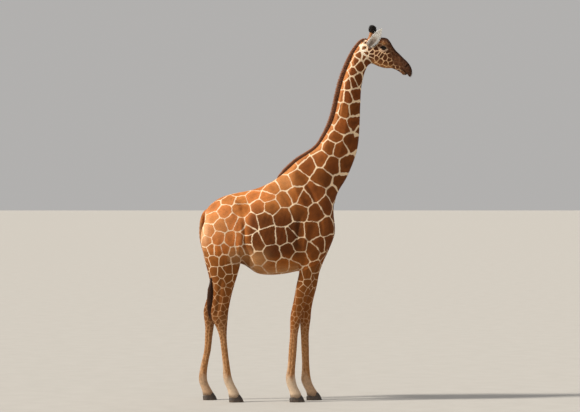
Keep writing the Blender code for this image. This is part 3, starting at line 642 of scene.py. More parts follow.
def stroke(points, path, reach, fade=0.0):
    """How near each point is to a path of (column, row, out) stations: 1 on it, falling off by a bell of
    that reach, and dying away over the share fade of its length at both ends."""
    flat = np.array([1.0, 0.33, 1.0])  # the path follows the hide, so its distance out counts less
    line = np.array([at(c, r, o)[:] for c, r, o in path]) * flat
    points = points * flat
    low, high = line.min(axis=0) - 3 * reach, line.max(axis=0) + 3 * reach
    near = ((points > low) & (points < high)).all(axis=1)
    out = np.zeros(len(points))
    if not near.any():
        return out
    p = points[near]
    best = np.full(len(p), 1e9)
    share = np.zeros(len(p))
    run, total = 0.0, max(np.linalg.norm(np.diff(line, axis=0), axis=1).sum(), 1e-9)
    for a, b in zip(line, line[1:]):
        ab = b - a
        size = np.linalg.norm(ab)
        t = np.clip(((p - a) @ ab) / max(ab @ ab, 1e-12), 0, 1)
        away = ((p - (a + t[:, None] * ab)) ** 2).sum(axis=1)
        closer = away < best
        best[closer] = away[closer]
        share[closer] = (run + t[closer] * size) / total
        run += size
    out[near] = np.exp(-best / reach**2)
    if fade:
        out[near] *= smooth_step(share / fade) * smooth_step((1 - share) / fade)
    return out


def both(path, side):
    return [(c, r, side * o) for c, r, o in path]


# Carving of the hide: path of (column, row, out), reach in metres, height in
# metres (outwards).  Made on both sides.
BODY_STROKES = [
    # shoulder blade: its spine, and the hollows before and behind it
    ([(88, 226, .10), (96, 214, .19), (106, 196, .24), (116, 184, .23)], .034, .010),
    ([(80, 212, .20), (90, 200, .26), (98, 184, .28)], .030, -.010),
    ([(104, 226, .15), (113, 210, .18), (120, 194, .20)], .026, -.011),
    ([(112, 222, .13), (119, 210, .16)], .022, .006),
    # triceps edge and the fold behind the elbow
    ([(104, 188, .27), (100, 174, .28), (98, 160, .28), (96.5, 144, .26)], .024, -.015),
    ([(110, 184, .24), (108, 168, .26), (106, 154, .26), (103, 140, .25)], .032, .010),
    ([(128, 186, .16), (131, 172, .16), (129, 160, .17)], .024, .005),
    ([(121, 190, .20), (124, 172, .22), (121, 156, .22)], .022, -.006),
    # forearm muscles
    ([(104, 148, .25), (104, 134, .24), (102, 120, .22)], .018, .004),
    ([(112, 146, .26), (110, 130, .24), (107, 116, .22)], .010, -.003),
    # haunch: hip bone, thigh edge, stifle fold, hollow before the thigh
    ([(30, 205, .15), (36, 201, .18), (41, 194, .22), (42, 186, .24)], .034, .015),
    ([(50, 204, .20), (51, 194, .24), (50, 184, .26)], .030, -.012),
    ([(24, 200, .15), (33, 190, .22), (38, 178, .26), (40, 162, .28)], .034, .009),
    ([(46, 182, .27), (46.5, 170, .29), (46.5, 158, .29), (48, 146, .26)], .021, -.020),
    ([(41, 164, .29), (41.5, 152, .28), (39.5, 138, .26)], .024, .010),
    ([(52, 164, .28), (54, 152, .27), (58, 141, .24)], .018, .006),
    ([(14, 184, .18), (12, 168, .25), (12, 152, .25)], .020, -.006),
    ([(22, 172, .28), (21, 156, .29), (21, 140, .26)], .034, .005),
    ([(27, 150, .28), (27, 136, .26), (27, 124, .24)], .014, -.004),
    # jugular groove and the muscle above it, down the neck
    ([(169, 336, .07), (160, 318, .085), (157, 296, .09), (155, 270, .10), (151, 246, .105), (143, 222, .12), (134, 204, .14)], .020, -.0055),
    ([(160, 338, .07), (153, 318, .085), (150, 296, .09), (147, 270, .10), (142, 246, .105), (134, 226, .13)], .024, .0035),
    ([(166, 344, .07), (152, 336, .075), (146, 318, .075), (143, 298, .075), (140, 276, .08), (134, 258, .095)], .014, -.003),
    # belly: milk-vein line and flank
    ([(60, 133, .16), (74, 131, .17), (90, 134, .16)], .018, .003),
]
RIBS = [(88 - 5.2 * k, 206 - 1.4 * k, 148 + 0.9 * k) for k in range(8)]
HEAD_STROKES = [
    # brow ridge, hollow over the eye, temple
    ([(180.8, 355.4, .074), (185.6, 356.5, .078), (190.4, 354.6, .070)], .0100, .0060),
    ([(181.5, 359.3, .070), (186.5, 360.0, .066)], .0120, -.0040),
    ([(177.5, 354.5, .086), (178.5, 349.5, .088)], .0150, -.0040),
    # facial crest, cheek, jaw edge
    ([(183.0, 346.8, .086), (188.5, 346.4, .083), (194.5, 342.4, .066), (199.0, 338.8, .056)], .0110, .0045),
    ([(179.0, 346.0, .090), (183.5, 341.5, .090)], .0300, .0055),
    ([(190.5, 342.0, .078), (194.0, 337.6, .062)], .0130, -.0045),
    ([(176.0, 338.6, .070), (183.0, 335.0, .064), (190.0, 333.6, .052)], .0120, .0028),
    # side of the nose
    ([(192.0, 352.6, .062), (197.5, 345.2, .054), (203.0, 340.4, .050)], .0120, -.0040),
    # muzzle: pad round the nostril, upper lip, lower lip, chin
    ([(207.6, 337.4, .048), (211.6, 335.8, .044)], .0095, .0038),
    ([(204.5, 333.6, .050), (209.6, 330.0, .048), (212.6, 326.6, .030)], .0115, .0034),
    ([(202.6, 329.2, .040), (206.6, 327.2, .036)], .0080, .0026),
    ([(203.6, 327.2, .012), (206.2, 326.2, .010)], .0100, .0030),
    # throat latch folds
    ([(168.6, 347.0, .075), (171.4, 341.6, .076), (173.2, 336.4, .050)], .0060, -.0036),
    ([(171.6, 348.0, .080), (173.8, 343.0, .080), (175.4, 337.6, .054)], .0060, -.0026),
    ([(166.0, 344.0, .078), (168.4, 339.4, .074), (170.4, 335.4, .046)], .0070, -.0024),
]
MOUTH = [(209.3, 326.7, .030), (208.2, 327.9, .037), (205.6, 329.9, .043), (202.0, 332.0, .046), (199.2, 333.5, .049)]
NOSTRIL = [(208.3, 332.6, .050), (208.9, 334.2, .0505), (209.9, 335.6, .0490), (211.2, 336.3, .0455)]


def carve_body(points, normals):
    c, y, r = grid_of(points)
    lift = np.zeros(len(points))
    for side in (-1, 1):
        for path, reach, height in BODY_STROKES:
            lift += height * stroke(points, both(path, side), reach, 0.36)
        for n, (column, top, foot) in enumerate(RIBS):
            path = [(column + 7, top, side * .26), (column + 2, (top + foot) / 2, side * .33), (column - 4, foot, side * .31)]
            lift += 0.0019 * stroke(points, path, .020, 0.34)
        fore, hind = (FORE_RIGHT, HIND_RIGHT) if side < 0 else (FORE_LEFT, HIND_LEFT)
        # tendons: a groove on both faces of every cannon, between bone and tendon
        for rows, first, last in ((fore, 12, 15), (hind, 11, 14)):
            for face in (-1, 1):
                path = [(b + 0.40 * (f - b), row, side * out + face * half) for b, f, row, out, half in rows[first : last + 1]]
                lift -= 0.0042 * stroke(points, path, .0095)
        # knees and hocks: bony corners; fetlocks: side knobs
        for rows, n, share, height in ((fore, 10, 0.72, .0050), (fore, 9, 0.30, .0036), (hind, 9, 0.62, .0050), (hind, 10, 0.30, .0040), (fore, 15, 0.50, .0032), (hind, 15, 0.50, .0032)):
            b, f, row, out, half = rows[n]
            for face in (-1, 1):
                lift += height * stroke(points, [(b + share * (f - b), row + 2, side * out + face * half), (b + share * (f - b), row - 2, side * out + face * half)], .016)
        # creases at the back of the fetlocks, over the heel
        for rows, n in ((fore, 17), (hind, 16)):
            b, f, row, out, half = rows[n]
            for step in (-1.5, 1.5):
                lift -= 0.0022 * stroke(points, [(b, row + step, side * (out - .03)), (b, row + step, side * (out + .03))], .0060)
    # chest: the groove between the breasts; buttocks: the cleft
    lift -= 0.010 * stroke(points, [(137, 196, 0), (139.5, 180, 0), (138, 165, 0), (130, 148, 0)], .022)
    lift -= 0.014 * stroke(points, [(6.5, 176, 0), (9, 160, 0), (14, 148, 0)], .030)
    # the tail's root broadens into the rump
    for out in (-.030, .030):
        lift += 0.007 * stroke(points, [(20, 199.0, out), (12.4, 192.0, out), (9.0, 187.0, out), (6.6, 180.0, out * .6)], .030, 0.4)
    return lift


def carve_head(points, normals):
    lift = np.zeros(len(points))
    for side in (-1, 1):
        for path, reach, height in HEAD_STROKES:
            lift += height * 1.1 * stroke(points, both(path, side), reach * 1.05, 0.34)
        lift -= 0.0085 * stroke(points, both(MOUTH, side), .0042)
        lift -= 0.0115 * stroke(points, both(NOSTRIL, side), .0052, 0.30)
        lift -= 0.0070 * stroke(points, both(NOSTRIL[2:], side), .0058)
        lift += 0.0034 * stroke(points, both([(c - 1.0, r + 0.6, o) for c, r, o in NOSTRIL], side), .0066, 0.30)
        lift += 0.0014 * stroke(points, both([(c + 0.2, r + 1.0, o) for c, r, o in MOUTH], side), .0055)
        lift += 0.0014 * stroke(points, both([(c - 0.3, r - 1.0, o) for c, r, o in MOUTH[2:]], side), .0055)
    # split of the upper lip, bump of the forehead
    lift -= 0.0030 * stroke(points, [(214.7, 331.5, 0), (214.2, 327.5, 0), (213.0, 324.2, 0)], .0045)
    lift += 0.0040 * stroke(points, [(186.0, 364.0, 0), (190.0, 362.4, 0)], .0260)
    return lift


# ------------------------------------------------------------ eyes and lids
def eye_axes(side):
    """Out of the head, forward along the lids, and up."""
    out = Vector((0.20, side * 0.97, 0.10)).normalized()
    ahead = Vector((0.985, 0, -0.17))
    ahead = (ahead - out * ahead.dot(out)).normalized()
    up = out.cross(ahead)
    if up.z < 0:
        up = -up
    return np.array(out), np.array(ahead), np.array(up)


LID_LONG = 0.0262  # half length of the eye's opening


def lid_curve(u):
    """Upper and lower edge of the opening against the distance along it."""
    t = np.clip(np.abs(u) / LID_LONG, 0, 1)
    bow = (1 - t**2.3) ** 0.62
    lean = 0.0012 * u / LID_LONG
    return 0.0118 * bow + lean, -0.0142 * bow**1.1 - lean


def lid_distance(u, v):
    """Distance to the edge of the opening, negative inside."""
    top, bottom = lid_curve(u)
    inside = np.maximum(v - top, bottom - v)
    beyond = np.hypot(np.maximum(np.abs(u) - LID_LONG, 0), v)
    return np.where(np.abs(u) < LID_LONG, inside, np.maximum(beyond, 0.0))


def open_lids(points):
    """Wraps the hide over each eyeball and opens it between the lids."""
    wrap = EYE_RADIUS + 0.0030
    for side in (-1, 1):
        centre = np.array(at(EYE_COLUMN, EYE_ROW, side * EYE_OUT))
        out, ahead, up = eye_axes(side)
        q = points - centre
        near = (np.linalg.norm(q, axis=1) < 0.056) & (q @ out > -0.008)
        u, v, w = q[near] @ ahead, q[near] @ up, q[near] @ out
        s = lid_distance(u, v)
        # vertices close to the edge slide onto it, so that it runs clean
        step = 0.0004
        gu = (lid_distance(u + step, v) - lid_distance(u - step, v)) / (2 * step)
        gv = (lid_distance(u, v + step) - lid_distance(u, v - step)) / (2 * step)
        size = np.maximum(np.hypot(gu, gv), 0.3)
        close = np.abs(s) < 0.0010
        u = np.where(close, u - s * gu / size**2, u)
        v = np.where(close, v - s * gv / size**2, v)
        s = np.where(close, 0.0, s)
        rho = np.hypot(u, v)
        turn = 0.78 * wrap
        dome = np.sqrt(np.maximum(wrap**2 - np.minimum(rho, turn) ** 2, 0))
        dome -= np.maximum(rho - turn, 0) * (turn / math.sqrt(wrap**2 - turn**2))
        soft = 0.0050
        joined = 0.5 * (w + dome + np.sqrt((w - dome) ** 2 + soft**2)) - 0.25 * soft
        crease = 0.0020 * np.exp(-(((s - 0.0062) / 0.0019) ** 2)) * smooth_step((v + 0.004) / 0.006)
        crease += 0.0012 * np.exp(-(((s - 0.0085) / 0.0022) ** 2)) * smooth_step((0.002 - v) / 0.006)
        crease += 0.0012 * np.exp(-(((s - 0.0130) / 0.0024) ** 2)) * smooth_step((v + 0.004) / 0.006)
        pit = EYE_RADIUS * 0.75 * smooth_step(-s / 0.0018)
        w_new = np.where(s < 0, np.maximum(dome - 0.0012 - pit, 0.0), joined - crease)
        points[near] = centre + u[:, None] * ahead + v[:, None] * up + w_new[:, None] * out
    return points


def finer_round_eyes(mesh):
    """Splits the faces round the eyes and nostrils once more."""
    bm = bmesh.new()
    bm.from_mesh(mesh)
    hubs = [(at(EYE_COLUMN, EYE_ROW, side * EYE_OUT), 0.044) for side in (-1, 1)]
    hubs += [(at(209.8, 334.8, side * 0.05), 0.026) for side in (-1, 1)]
    edges = [e for e in bm.edges if any((e.verts[0].co - hub).length < reach and (e.verts[1].co - hub).length < reach for hub, reach in hubs)]
    bmesh.ops.subdivide_edges(bm, edges=edges, cuts=1, use_grid_fill=True)
    bm.to_mesh(mesh)
    bm.free()
    mesh.update()
    return mesh


# ------------------------------------------------------------ lie of the hide
def centre_line(rows, kind, side=1):
    """Middle of a loft, station by station, and its mean radius."""
    line, radius = [], []
    for row in spline(rows, 4):
        if kind == "profile":
            xt, zt, xb, zb, half = row[:5]
            line.append(at((xt + xb) / 2, (zt + zb) / 2)[:])
            radius.append((half + math.hypot(xt - xb, zt - zb) * U / 2) / 2)
        elif kind == "leg":
            back, front, r, out, half = row
            line.append(at((back + front) / 2, r, side * out)[:])
            radius.append((half + (front - back) * U / 2) / 2)
        else:
            line.append(at(row[0], row[1])[:])
            radius.append(row[2])
    return np.array(line), np.array(radius)


def along_line(points, line, radius):
    """Arc length, tangent and foot point on a line, and the line's radius there."""
    seg = np.diff(line, axis=0)
    size = np.linalg.norm(seg, axis=1)
    start = np.concatenate([[0], np.cumsum(size)])
    best = np.full(len(points), 1e9)
    s = np.zeros(len(points))
    k = np.zeros(len(points), int)
    share = np.zeros(len(points))
    for i in range(len(seg)):
        t = ((points - line[i]) @ seg[i]) / size[i] ** 2
        if 0 < i < len(seg) - 1:
            t = np.clip(t, 0, 1)
        elif i == 0:
            t = np.minimum(t, 1)
        else:
            t = np.maximum(t, 0)
        d = ((points - (line[i] + t[:, None] * seg[i])) ** 2).sum(axis=1)
        closer = d < best
        best[closer], k[closer], share[closer] = d[closer], i, t[closer]
        s[closer] = (start[i] + t * size[i])[closer]
    foot = line[k] + share[:, None] * seg[k]
    # the tangent turns smoothly from station to station
    tangent_at = np.gradient(line, axis=0)
    tangent_at /= np.linalg.norm(tangent_at, axis=1)[:, None]
    mix = np.clip(share, 0, 1)[:, None]
    tangent = tangent_at[k] * (1 - mix) + tangent_at[k + 1] * mix
    tangent /= np.linalg.norm(tangent, axis=1)[:, None]
    r = radius[k] * (1 - mix[:, 0]) + radius[k + 1] * mix[:, 0]
    return s, tangent, foot, r


def wrap_coordinates(points, part):
    """Arc length along a part and angle round it (0 on the back line or outer side), with the part's radius and tangent."""
    line, radius, kind, side = AXES[part]
    s, tangent, foot, r = along_line(points, line, radius)
    away = points - foot
    if kind == "leg":
        zero = np.tile([0.0, side, 0.0], (len(points), 1))
        cross = np.cross(tangent, zero)
    else:
        cross = np.tile([0.0, 1.0, 0.0], (len(points), 1))
        zero = np.cross(cross, tangent)
        zero *= np.sign(zero[:, 2:3] + 1e-9) if kind != "tail" else 1
    angle = np.arctan2((away * cross).sum(axis=1), (away * zero).sum(axis=1))
    return s, angle, r, tangent


AXES = {
    "body": (*centre_line(SPINE, "profile"), "profile", 1),
    "head": (*centre_line(HEAD, "profile"), "profile", 1),
    "fore_right": (*centre_line(FORE_RIGHT[3:], "leg", -1), "leg", -1),
    "fore_left": (*centre_line(FORE_LEFT[3:], "leg", 1), "leg", 1),
    "hind_right": (*centre_line(HIND_RIGHT[3:], "leg", -1), "leg", -1),
    "hind_left": (*centre_line(HIND_LEFT[3:], "leg", 1), "leg", 1),
    "tail": (*centre_line(TAIL, "tail"), "tail", 1),
}
PARTS = ["body", "head", "fore_right", "fore_left", "hind_right", "hind_left", "ear_right", "ear_left", "tail"]


def ear_coordinates(points, side):
    """Share of the ear's length, distance across it and distance along its opening, in metres."""
    root, along, wide, opening = ear_frame(side)
    q = points - np.array(root)
    return q @ np.array(along), q @ np.array(wide), q @ np.array(opening)


def part_of(points):
    """Number of the part each point of the fused hide belongs to, in PARTS."""
    c, y, r = grid_of(points)
    part = np.zeros(len(points), int)
    part[(c - 169.4) * 22.5 + (r - 348.4) * 10.5 > 0] = 1
    side = np.where(y < 0, -1, 1)
    hind = (c < 65) & (0.45 * (c - 23.2) * U - 0.25 * side * (y - side * 0.175) + (r - 141.3) * U < 0)
    middle = np.where(y < 0, 112.0, 115.6)
    fore = (c > 65) & (c < 140) & (-0.5 * (c - middle) * U - 0.18 * side * (y - side * 0.155) + (r - 76.6 - 0.5 * middle) * U < 0)
    part[fore & (y < 0)] = 2
    part[fore & (y >= 0)] = 3
    part[hind & (y < 0)] = 4
    part[hind & (y >= 0)] = 5
    for number, s in ((6, -1), (7, 1)):
        reach, across, deep = ear_coordinates(points, s)
        u = (reach + 0.040) / EAR_LENGTH
        half = np.array([ear_half(min(max(x, 0.0), 1.0)) for x in np.linspace(0, 1, 60)])
        limit = np.interp(np.clip(u, 0, 1), np.linspace(0, 1, 60), half) + 0.006
        cup = 0.80 * across**2 / np.maximum(limit, 0.01) * (1 - 0.45 * np.clip(u, 0, 1)) - 0.022 * np.sin(np.pi * np.clip(u, 0, 1))
        part[(u > 0.20) & (u < 1.05) & (np.abs(across) < limit) & (np.abs(deep - cup) < 0.016 + 0.020 * smooth_step((u - 0.26) / 0.10))] = number
    return part


def mean_normals(points, normals, ends, rounds):
    """Normals averaged over their neighbours, so that a lift along them stays even."""
    out = relax(normals, ends, np.full(len(points), 0.5), rounds)
    return out / np.maximum(np.linalg.norm(out, axis=1)[:, None], 1e-9)


def normals_of(mesh, points):
    set_points(mesh, points)
    return vertex_normals(mesh)


def shaped_hide():
    """The finished hide before the head's turn: mesh, points and the part of every vertex."""
    mesh = fused_hide()
    points, ends = vertex_points(mesh), edge_ends(mesh)
    grain = SKIN_VOXEL * 1.0
    part = part_of(points)
    ears = part >= 6
    hub = np.linalg.norm(points - HEAD_HUB, axis=1)
    weight = junction_weight(points)
    # body: as strongly as the solids; head: the joins only; ears: their rims
    weight[ears] = 0.0
    points = relax_part(points, ends, weight, int(18 * (0.010 / grain) ** 2), hub > 0.38)
    c, y, r = grid_of(points)
    poll = np.exp(-(((c - 170) / 6.0) ** 2) - ((r - 345) / 13.0) ** 2)
    throat = np.exp(-(((c - 173) / 6.0) ** 2) - ((r - 337) / 6.0) ** 2)
    hard = np.clip(0.10 + 0.5 * poll + 0.5 * throat, 0, 0.6)
    hard[c > 190] = 0.06
    ear_root = np.exp(-(((c - 173.5) / 3.0) ** 2) - ((np.abs(y) / U - 7.2) / 2.2) ** 2 - ((r - 357.6) / 3.0) ** 2)
    hard = np.maximum(hard, 0.5 * ear_root)
    hard[ears] = 0.0
    points = relax_part(points, ends, hard, int(70 * (0.0029 / (grain / HEAD_ZOOM)) ** 2), hub < 0.46)
    rim = np.where(ears, 0.5, 0.0)
    points = relax_part(points, ends, rim, int(12 * (0.0029 / (grain / HEAD_ZOOM)) ** 2), hub < 0.46)
    # the upper lip ends in a round pad
    pad = np.exp(-((np.linalg.norm(points - np.array(at(213.0, 324.6)), axis=1) / 0.026) ** 2)) * 0.55
    points = relax_part(points, ends, pad, int(30 * (0.0029 / (grain / HEAD_ZOOM)) ** 2), hub < 0.46)
    # and swells to a knob there
    knob, size = np.array(at(211.8, 326.5)), np.array((0.0250, 0.0340, 0.0228))
    q = (points - knob) / size
    m = np.maximum(np.linalg.norm(q, axis=1), 0.05)
    near = (m < 1.6) & (part == 1)
    blend = smooth_step((m - 1.3) / 0.3)
    grown = 0.5 * (m + 1 + np.sqrt((m - 1) ** 2 + 0.02)) * (1 - blend) + m * blend
    points[near] = knob + size * q[near] * (grown / m)[near][:, None]
    # the ears narrow towards their tips
    for number, s_ in ((6, -1), (7, 1)):
        on = part == number
        reach, across, deep = ear_coordinates(points[on], s_)
        share = smooth_step(((reach + 0.040) / EAR_LENGTH - 0.52) / 0.48)
        across_way = np.array(ear_frame(s_)[2])
        upper = across * across_way[2] > 0
        straight = np.sin(np.pi * np.clip((reach + 0.040) / EAR_LENGTH, 0, 1)) ** 2
        narrow = np.where(upper, 0.30 * straight + 0.40 * share, 0.30 * share)
        points[on] -= across_way * (narrow * across)[:, None]

    normals = normals_of(mesh, points)
    body = points.copy()
    points = shape_forms(points, normals)
    body_part = (hub > 0.30)[:, None]
    points = np.where(body_part, points, body)
    normals = mean_normals(points, normals_of(mesh, points), ends, 6)
    depth = np.full(len(points), COAT_DEPTH)
    legs = (part >= 2) & (part <= 5)
    depth[legs] = 0.0030
    depth = np.where(hub < 0.42, 0.0022, depth)
    depth[ears] = 0.0
    lift = carve_body(points, normals) - depth
    lift[ears] = 0.0
    points = points + normals * lift[:, None]
    set_points(mesh, points)
    mesh = finer_round_eyes(mesh)
    points, ends = vertex_points(mesh), edge_ends(mesh)
    hub = np.linalg.norm(points - HEAD_HUB, axis=1)
    normals = vertex_normals(mesh)
    lift = carve_head(points, normals)
    lift += 0.0036 * np.exp(-((np.linalg.norm(points - np.array(at(212.4, 325.4)), axis=1) / 0.020) ** 2))
    lift[hub > 0.45] = 0
    points = points + normals * lift[:, None]
    points = open_lids(points)
    set_points(mesh, points)
    return mesh


HIDE = shaped_hide()


# ------------------------------------------------------------ markings
SIGHT = np.array((-0.181, -CAMERA_FAR, 2.34))  # where the camera stands

# Middles of the patches seen from the right, in drawing squares.
SPOTS_NECK = [
    (147, 325), (142, 306), (149.5, 317.5), (155, 319), (160.5, 322), (154.5, 330), (161.5, 335), (162, 346), (157, 339),
    (159, 353), (150, 304), (157, 306), (145.5, 291), (157.5, 291), (156.5, 278), (143.5, 274), (137, 264.5), (153, 259),
    (141.5, 253), (131, 254), (148, 236), (135, 236), (122, 244), (109, 236), (124, 223), (143, 217),
]
# The foremost patches of the neck run round its front in one piece.
WRAPPED = {(157, 306), (157.5, 291), (156.5, 278), (153, 259), (148, 236), (143, 217)}
SPOTS_TRUNK = [
    (86, 219), (98, 223), (116, 209), (97.5, 206.5), (105.5, 202.5), (86, 202), (74, 212.5), (69, 204.5), (54, 205),
    (42, 208), (31, 201.5), (43, 201.5), (43, 192), (60, 195), (73, 194.5), (85, 185), (102, 189), (118, 188),
    (131, 195), (66, 182), (52.5, 179.5), (25.5, 190), (33, 179.5), (16, 195), (14, 183), (22.5, 176), (10, 171),
    (19.5, 162.5), (33, 161.5), (42.5, 176), (42, 161), (42, 149), (48, 172), (48.5, 160), (49, 153), (50, 139),
    (58, 158), (71, 165), (84, 165), (74, 147), (91, 150), (94, 165), (59.5, 141), (72, 133.5), (85.5, 134.5),
    (96, 135), (60, 131), (99, 170), (114, 169), (129, 173), (131, 158), (122.5, 156.5), (114.5, 150), (102, 155.5),
    (102, 143),
]
SPOTS_THIGH = [
    (8, 159.5), (13, 151), (19.5, 150), (27, 151), (35, 148.5), (7, 148), (15, 140.5), (27, 140), (37.5, 142),
    (38.5, 132),
]
SPOTS_FACE = [
    (178, 348), (181.5, 346), (183, 345), (187, 342.5), (191.5, 340.5), (178.5, 343), (182.5, 339.5), (187.5, 337.5), (193, 338),
    (174, 349), (174, 345), (173, 341), (171, 338), (168, 348), (166.5, 345),
]


def seen_grid(points):
    """Column and row at which the camera sees each point, on the mid plane."""
    k = CAMERA_FAR / (points[:, 1] + CAMERA_FAR)
    x = SIGHT[0] + (points[:, 0] - SIGHT[0]) * k
    z = SIGHT[2] + (points[:, 2] - SIGHT[2]) * k
    return x / U + MID_COLUMN, z / U


def bell(x, middle, width):
    return np.exp(-(((x - middle) / width) ** 2))


def ripple(points, seed, size):
    """Smooth noise between about -1 and 1: sines in odd directions."""
    rng = np.random.default_rng(seed)
    out = np.zeros(len(points))
    for k in range(6):
        way = rng.normal(size=3)
        way *= (0.7 + 0.5 * rng.random()) * 2 * np.pi / (size * np.linalg.norm(way))
        out += np.sin(points @ way + rng.random() * 6.283)
    return out / 2.6


def patch_spacing(points, part, normals):
    """Distance between the middles of neighbouring patches."""
    c, y, r = grid_of(points)
    gap = np.where(r > 215, 0.150 - 0.050 * smooth_step((r - 225) / 120), 0.168)
    gap = np.where((c > 128) & (r < 215) & (r > 150), 0.135, gap)
    gap = np.where((c > 104) & (c < 145) & (r > 215) & (r < 250), 0.175, gap)
    high_leg = 0.078 + 0.056 * smooth_step((r - 112) / 45)
    low_leg = 0.036 + 0.042 * smooth_step((r - 62) / 50)
    legs = (part >= 2) & (part <= 5)
    gap = np.where(legs, np.where(r > 112, high_leg, low_leg), gap)
    thigh = (c < 50) & (r < 175) & ~legs
    gap = np.where(thigh, 0.105, gap)
    # the face, finer towards the muzzle, and the back of the jaw
    gap = np.where(part == 1, 0.056 - 0.014 * smooth_step((c - 186) / 20), gap)
    return gap


def patch_middles(points, turned, part, normals):
    """The seen middles, their like on the other side, and seeded ones for the rest of the hide."""
    rng = np.random.default_rng(31)
    col, row = seen_grid(turned)
    facing = np.flatnonzero((normals[:, 1] < -0.05) & (points[:, 1] < 0.03) & (part < 6))
    near_col, near_row = col[facing], row[facing]
    seen, wrapped = [], []
    for column, height in SPOTS_NECK + SPOTS_TRUNK + SPOTS_THIGH + SPOTS_FACE:
        wrapped.append((column, height) in WRAPPED)
        away = (near_col - column) ** 2 + (near_row - height) ** 2
        close = facing[away < max(away.min() * 1.5, 0.3)]
        # the far legs show between the near ones: the nearest surface counts
        seen.append(close[np.argmin(points[close, 1])])
    middles = [points[i] for i in seen]
    kin = list(range(len(seen)))
    for n, i in enumerate(seen):
        if wrapped[n]:
            # the same patch on the other side, and between them in front
            middles.append(points[i] * (1, -1, 1))
            front = np.flatnonzero((np.abs(points[:, 1]) < 0.02) & (np.abs(points[:, 2] - points[i, 2]) < 0.02) & (part == 0))
            middles.append(points[front[np.argmax(points[front, 0])]] - np.array((0.010, 0, 0)))
            kin += [n, n]
        elif points[i, 1] < -0.05 and points[i, 2] > 1.75:
            q = points[i] * (1, -1, 1) + rng.normal(size=3) * 0.016
            middles.append(q)
            kin.append(len(middles) - 1)
    middles = np.array(middles)
    usable = np.flatnonzero(part < 6)
    for size in (9000, 14000):
        tries = rng.choice(usable, size)
        gaps = patch_spacing(points[tries], part[tries], normals[tries]) * 0.86
        # where the seen middles lie, only real gaps between them are filled
        c, y, r = grid_of(points[tries])
        shown = (part[tries] == 0) & (normals[tries, 1] < -0.15) & (c > 8)
        gaps = np.where(shown, gaps * 1.42, gaps)
        cheek = (part[tries] == 1) & (normals[tries, 1] < -0.3) & (c < 193) & (r < 350)
        gaps = np.where(cheek, gaps * 1.25, gaps)
        if size > 9000:  # a second pass fills what is left on the small-patterned parts
            keep = gaps < 0.075
            tries, gaps = tries[keep], gaps[keep]
        spots = np.empty((len(middles) + len(tries), 3))
        spots[: len(middles)] = middles
        count = len(middles)
        for i, gap in zip(tries, gaps):
            if ((spots[:count] - points[i]) ** 2).sum(axis=1).min() > gap * gap:
                spots[count] = points[i]
                count += 1
        middles = spots[:count].copy()
    kin = np.array(kin + list(range(len(kin), len(middles))))
    return middles, kin


def net_of(points, middles, kin, rounding):
    """For every point the distance in from its cell's border, with rounded corners, and its cell's number."""
    block = np.floor(points / 0.07).astype(int)
    block -= block.min(axis=0)
    key = (block[:, 0] * 1000 + block[:, 1]) * 1000 + block[:, 2]
    order = np.argsort(key, kind="stable")
    cuts = np.flatnonzero(np.diff(key[order])) + 1
    border = np.empty(len(points))
    cell = np.empty(len(points), int)
    for group in np.split(order, cuts):
        p = points[group]
        middle = p.mean(axis=0)
        some = np.argsort(((middles - middle) ** 2).sum(axis=1))[:30]
        seeds = middles[some]
        d2 = ((p[:, None, :] - seeds[None]) ** 2).sum(axis=2)
        first = d2.argmin(axis=1)
        rows = np.arange(len(p))
        own = d2[rows, first]
        apart = np.linalg.norm(seeds[first][:, None, :] - seeds[None], axis=2)
        h = (d2 - own[:, None]) / (2 * np.maximum(apart, 1e-4))
        h[kin[some][None, :] == kin[some[first]][:, None]] = 9.0
        k = 1 / rounding[group][:, None]
        low = h.min(axis=1)
        border[group] = low - np.log(np.exp(-(h - low[:, None]) * k).sum(axis=1)) / k[:, 0]
        cell[group] = kin[some[first]]
    return border, cell


def mixed(a, b, share):
    """Colour arrays mixed by a share per vertex."""
    return a + (b - a) * np.clip(share, 0, 1)[:, None]


def tone(*rgb):
    return np.array(rgb, float)


RED_BROWN = tone(0.330, 0.098, 0.016)
# deep patch colour, also used as painted shade on the flank and on faces turned away from the key light
DEEP_AND_SHADED_BROWN = tone(0.148, 0.040, 0.0075)
# patch colour where painted sunlight falls
SUNLIT_PATCH_BROWN = tone(0.470, 0.170, 0.046)
CREAM = tone(0.780, 0.620, 0.440)
WARM_CREAM = tone(0.660, 0.420, 0.220)
BELLY_TAN = tone(0.420, 0.200, 0.075)
LEG_TAN = tone(0.290, 0.128, 0.042)
LEG_PALE = tone(0.480, 0.275, 0.140)
SOCK = tone(0.560, 0.440, 0.320)
FACE_LINE = tone(0.540, 0.355, 0.210)
FACE_PATCH = tone(0.074, 0.022, 0.006)
NOSE_BROWN = tone(0.052, 0.019, 0.008)
EAR_WHITE = tone(0.960, 0.925, 0.860)
EAR_INNER = tone(0.370, 0.270, 0.210)
LID_BLACK = tone(0.012, 0.008, 0.006)


